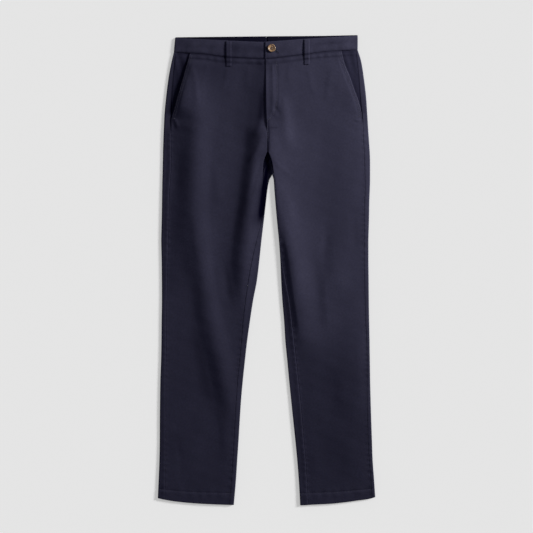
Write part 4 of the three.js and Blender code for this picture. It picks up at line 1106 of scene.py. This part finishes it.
class Nodes:
    """A node tree with short calls: make(type, inputs, settings) returns the node."""

    def __init__(self, tree):
        self.tree = tree
        tree.nodes.clear()

    def make(self, kind, inputs=None, **settings):
        node = self.tree.nodes.new(kind)
        for key, value in settings.items():
            setattr(node, key, value)
        for key, value in (inputs or {}).items():
            socket = node.inputs[key]
            if isinstance(value, bpy.types.NodeSocket):
                self.tree.links.new(value, socket)
            else:
                socket.default_value = value
        return node

    def place(self):
        return self.make("ShaderNodeTexCoord").outputs["Object"]

    def noise(self, scale, detail, **more):
        inputs = {"Vector": self.place(), "Scale": scale, "Detail": detail, **more}
        return self.make("ShaderNodeTexNoise", inputs).outputs["Fac"]

    def mix(self, factor, low, high):
        return self.make("ShaderNodeMix", {"Factor": factor, 6: low, 7: high},
                         data_type="RGBA").outputs[2]

    def fade(self, factor, start):
        """From start at a factor of 0 to nothing at 1."""
        return self.make("ShaderNodeMapRange", {"Value": factor, "To Min": start,
                                                "To Max": 0}).outputs[0]

    def bump(self, height, strength, distance, **below):
        inputs = {"Height": height, "Strength": strength, "Distance": distance, **below}
        return self.make("ShaderNodeBump", inputs).outputs[0]

    def finish(self, surface, kind="ShaderNodeOutputMaterial"):
        self.make(kind, {"Surface": surface.outputs[0]})


def new_material(name):
    material = bpy.data.materials.new(name)
    material.use_nodes = True
    return material, Nodes(material.node_tree)


def twill_material(name, painted_shade=1.0):
    """Brushed cotton twill in navy: diagonal weave, mottled wear and a faint nap. Its colour, gloss
    and nap fade to a painted shadow where the attribute from shade_folds says that hardly any light
    reaches; a shade share below one darkens the whole copy with painted shade."""
    material, n = new_material(name)
    mottled = n.make("ShaderNodeMath", {0: n.noise(9.0, 5.0, Roughness=0.6),
                                        1: n.noise(210.0, 4.0, Roughness=0.65)},
                     operation="MULTIPLY")
    wear = n.make("ShaderNodeMapRange", {"Value": mottled.outputs[0], "From Min": 0.12,
                                         "From Max": 0.42})
    # Painted shade over the whole copy, the blue darkening least.
    low, high = ([c * painted_shade ** k for c, k in zip(tone, SHADE_POWERS)] + [1]
                 for tone in (TWILL_LOW, TWILL_HIGH))
    # Painted shadow in the deepest hollows: the colour mixes towards a near-black blue, and gloss
    # and nap fade.
    painted_shade_amount = n.make("ShaderNodeAttribute", attribute_name="painted_shade_amount").outputs["Fac"]
    colour = n.mix(painted_shade_amount, n.mix(wear.outputs[0], low, high), SHADOW_TONE)
    turned = n.make("ShaderNodeMapping", {"Vector": n.place(), "Rotation": (0, 0, 1.05)})
    weave = n.make("ShaderNodeTexWave", {"Vector": turned.outputs[0], "Scale": 330.0,
                                         "Distortion": 1.2, "Detail": 2.0, "Detail Scale": 3.0})
    crumple = n.bump(n.noise(95.0, 4.0, Roughness=0.62), 0.22, 0.0011)
    fuzz = n.bump(n.noise(420.0, 3.0), 0.5, 0.00035, Normal=crumple)
    n.finish(n.make("ShaderNodeBsdfPrincipled", {
        "Base Color": colour, "Roughness": 0.92, "Specular IOR Level": n.fade(painted_shade_amount, 0.12 * painted_shade),
        "Sheen Weight": n.fade(painted_shade_amount, 0.08 * painted_shade), "Sheen Roughness": 0.55,
        "Sheen Tint": SHEEN_TINT,
        "Normal": n.bump(weave.outputs["Fac"], 0.35, 0.00025, Normal=fuzz),
    }))
    return material


def horn_material():
    """Mottled brown horn with a soft polish."""
    material, n = new_material("horn")
    colours = n.make("ShaderNodeValToRGB", {"Fac": n.noise(240.0, 4.0, Distortion=1.5)})
    for element, position, colour in zip(colours.color_ramp.elements, (0.36, 0.64),
                                         (HORN_DARK, HORN_LIGHT)):
        element.position, element.color = position, colour
    n.finish(n.make("ShaderNodeBsdfPrincipled", {
        "Base Color": colours.outputs[0], "Roughness": 0.38, "Coat Weight": 0.3,
        "Coat Roughness": 0.2,
    }))
    return material


def thread_material():
    material, n = new_material("thread")
    n.finish(n.make("ShaderNodeBsdfPrincipled", {
        "Base Color": (*THREAD_COLOUR, 1), "Roughness": 0.7, "Sheen Weight": 0.15,
        "Normal": n.bump(n.noise(900.0, 2.0), 0.4, 0.0002),
    }))
    return material


def paper_material():
    material, n = new_material("paper")
    diffuse = n.make("ShaderNodeBsdfDiffuse", {"Color": FLOOR_GREY})
    glow = n.make("ShaderNodeEmission", {"Color": (1, 1, 1, 1), "Strength": FLOOR_GLOW})
    n.finish(n.make("ShaderNodeAddShader", {0: diffuse.outputs[0], 1: glow.outputs[0]}))
    return material


def studio_world():
    """Grey surroundings, dimmer overhead."""
    world = bpy.data.worlds.new("studio")
    world.use_nodes = True
    n = Nodes(world.node_tree)
    direction = n.make("ShaderNodeTexCoord").outputs["Generated"]
    height = n.make("ShaderNodeSeparateXYZ", {0: direction}).outputs["Z"]
    dim = n.make("ShaderNodeMapRange", {"Value": height, "From Min": 0.05, "From Max": 0.4,
                                        "To Min": 0.5, "To Max": 0.16})
    n.finish(n.make("ShaderNodeBackground", {"Color": (1, 1, 1, 1), "Strength": dim.outputs[0]}),
             "ShaderNodeOutputWorld")
    return world


def add_light(name, kind, place, target, only, **settings):
    """A light at a place, aimed at a target, that lights one collection only."""
    data = bpy.data.lights.new(name, kind)
    for key, value in settings.items():
        setattr(data, key, value)
    light = bpy.data.objects.new(name, data)
    light.location = place
    light.rotation_euler = (Vector(target) - Vector(place)).to_track_quat("-Z", "Y").to_euler()
    bpy.context.scene.collection.objects.link(light)
    light.light_linking.receiver_collection = only


# Camera straight above, far away, with the waist towards the top of the picture.
camera_data = bpy.data.cameras.new("camera")
camera_data.sensor_width = 36
camera_data.lens = CAMERA_LENS
camera = bpy.data.objects.new("camera", camera_data)
camera.location = CAMERA_AT
bpy.context.scene.collection.objects.link(camera)
bpy.context.scene.camera = camera

twill = twill_material("twill")
# Twill darkened with painted shade for the pocket facings and the fly shield.
painted_shade_twill = twill_material("twill_facing_painted_shade", FACING_PAINTED_SHADE)
# Twill darkened with painted shade for the inner faces of the cloth.
inside_painted_shade_twill = twill_material("twill_inside_painted_shade", INSIDE_PAINTED_SHADE)
horn = horn_material()
thread = thread_material()


def place_piece(piece, node, material, slot_name):
    piece.data.materials.append(material)
    # The cloth's inner faces take the twill darkened with painted shade.
    if slot_name == "twill":
        piece.data.materials.append(inside_painted_shade_twill)
    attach(piece, "root")
    if node:
        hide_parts(node)


def cloth(piece, node, material):
    place_piece(piece, node, material, "twill")


back_right = back_leg("back_leg_right_cloth", RIGHT)
back_left = back_leg("back_leg_left_cloth", LEFT)
front_right = front_leg("front_leg_right_cloth", RIGHT)
front_left = front_leg("front_leg_left_cloth", LEFT)
facing_right = pocket_facing("pocket_facing_right_cloth", RIGHT)
facing_left = pocket_facing("pocket_facing_left_cloth", LEFT)
shield = fly_shield("fly_shield_cloth")
band_right = waistband("waistband_right_cloth", RIGHT, BAND_FRONT, BAND_BACK_END_X["right"],
                       BAND_UNDERLAP_END_X, RIGHT_BAND_FOLD)
band_left = waistband("waistband_left_cloth", LEFT, BAND_OVERLAP, BAND_BACK_END_X["left"],
                      BAND_OVERLAP_END_X, LEFT_BAND_FOLD)
loops = {}
for side, x, leg, band in (("right", FRONT_LOOP_X[0], RIGHT, BAND_FRONT),
                           ("left", FRONT_LOOP_X[1], LEFT, BAND_OVERLAP)):
    loops["belt_loop_front_" + side] = front_loop(f"loop_front_{side}_cloth", x, leg, band)
for side, x in zip(("right", "centre", "left"), BACK_LOOP_X):
    loops["belt_loop_back_" + side] = back_loop(f"loop_back_{side}_cloth", x)
button = button_piece("button_horn")
sew()
stitching = capsule_mesh("stitching", THREADS)
shank = capsule_mesh("button_sewing", thread_cross(), 8)

cloth(back_right, "back_leg_right", twill)
cloth(back_left, "back_leg_left", twill)
cloth(front_right, "front_leg_right", twill)
cloth(front_left, "front_leg_left", twill)
cloth(facing_right, "pocket_facing_right", painted_shade_twill)
cloth(facing_left, "pocket_facing_left", painted_shade_twill)
cloth(shield, "fly_shield", painted_shade_twill)
cloth(band_right, "waistband_right", twill)
cloth(band_left, "waistband_left", twill)
for node, loop in loops.items():
    cloth(loop, node, twill)
place_piece(button, "button", horn, "horn")
place_piece(shank, "button_thread", thread, "thread")
place_piece(stitching, None, thread, "thread")

garment = bpy.data.collections.new("garment")
for piece in (back_right, back_left, front_right, front_left, facing_right, facing_left, shield,
              band_right, band_left, *loops.values(), button, shank, stitching):
    garment.objects.link(piece)

floor_mesh = bpy.data.meshes.new(FLOOR)
corners = [(x * FLOOR_HALF, y * FLOOR_HALF, FLOOR_Z)
           for x, y in ((-1, -1), (1, -1), (1, 1), (-1, 1))]
floor_mesh.from_pydata(corners, [], [(0, 1, 2, 3)])
floor_mesh.materials.append(paper_material())
floor = bpy.data.objects.new(FLOOR, floor_mesh)
bpy.context.scene.collection.objects.link(floor)
floor_only = bpy.data.collections.new("floor_only")
floor_only.objects.link(floor)

add_light("key", "AREA", (1.25, 0.95, 0.6), (0, 0.1, 0), garment, shape="DISK", size=0.35,
          energy=43)
add_light("fill", "AREA", (-0.1, -0.1, 2.2), (0, 0, 0), garment, shape="DISK", size=1.6,
          energy=4.2, color=FILL_TINT)
add_light("paper_light", "SUN", (0, 0, 0), (-0.8, -0.35, -0.42), floor_only,
          angle=math.radians(14), energy=2.4)
bpy.context.scene.world = studio_world()

bpy.context.scene.view_settings.view_transform = "Standard"
bpy.context.scene.view_settings.look = "None"
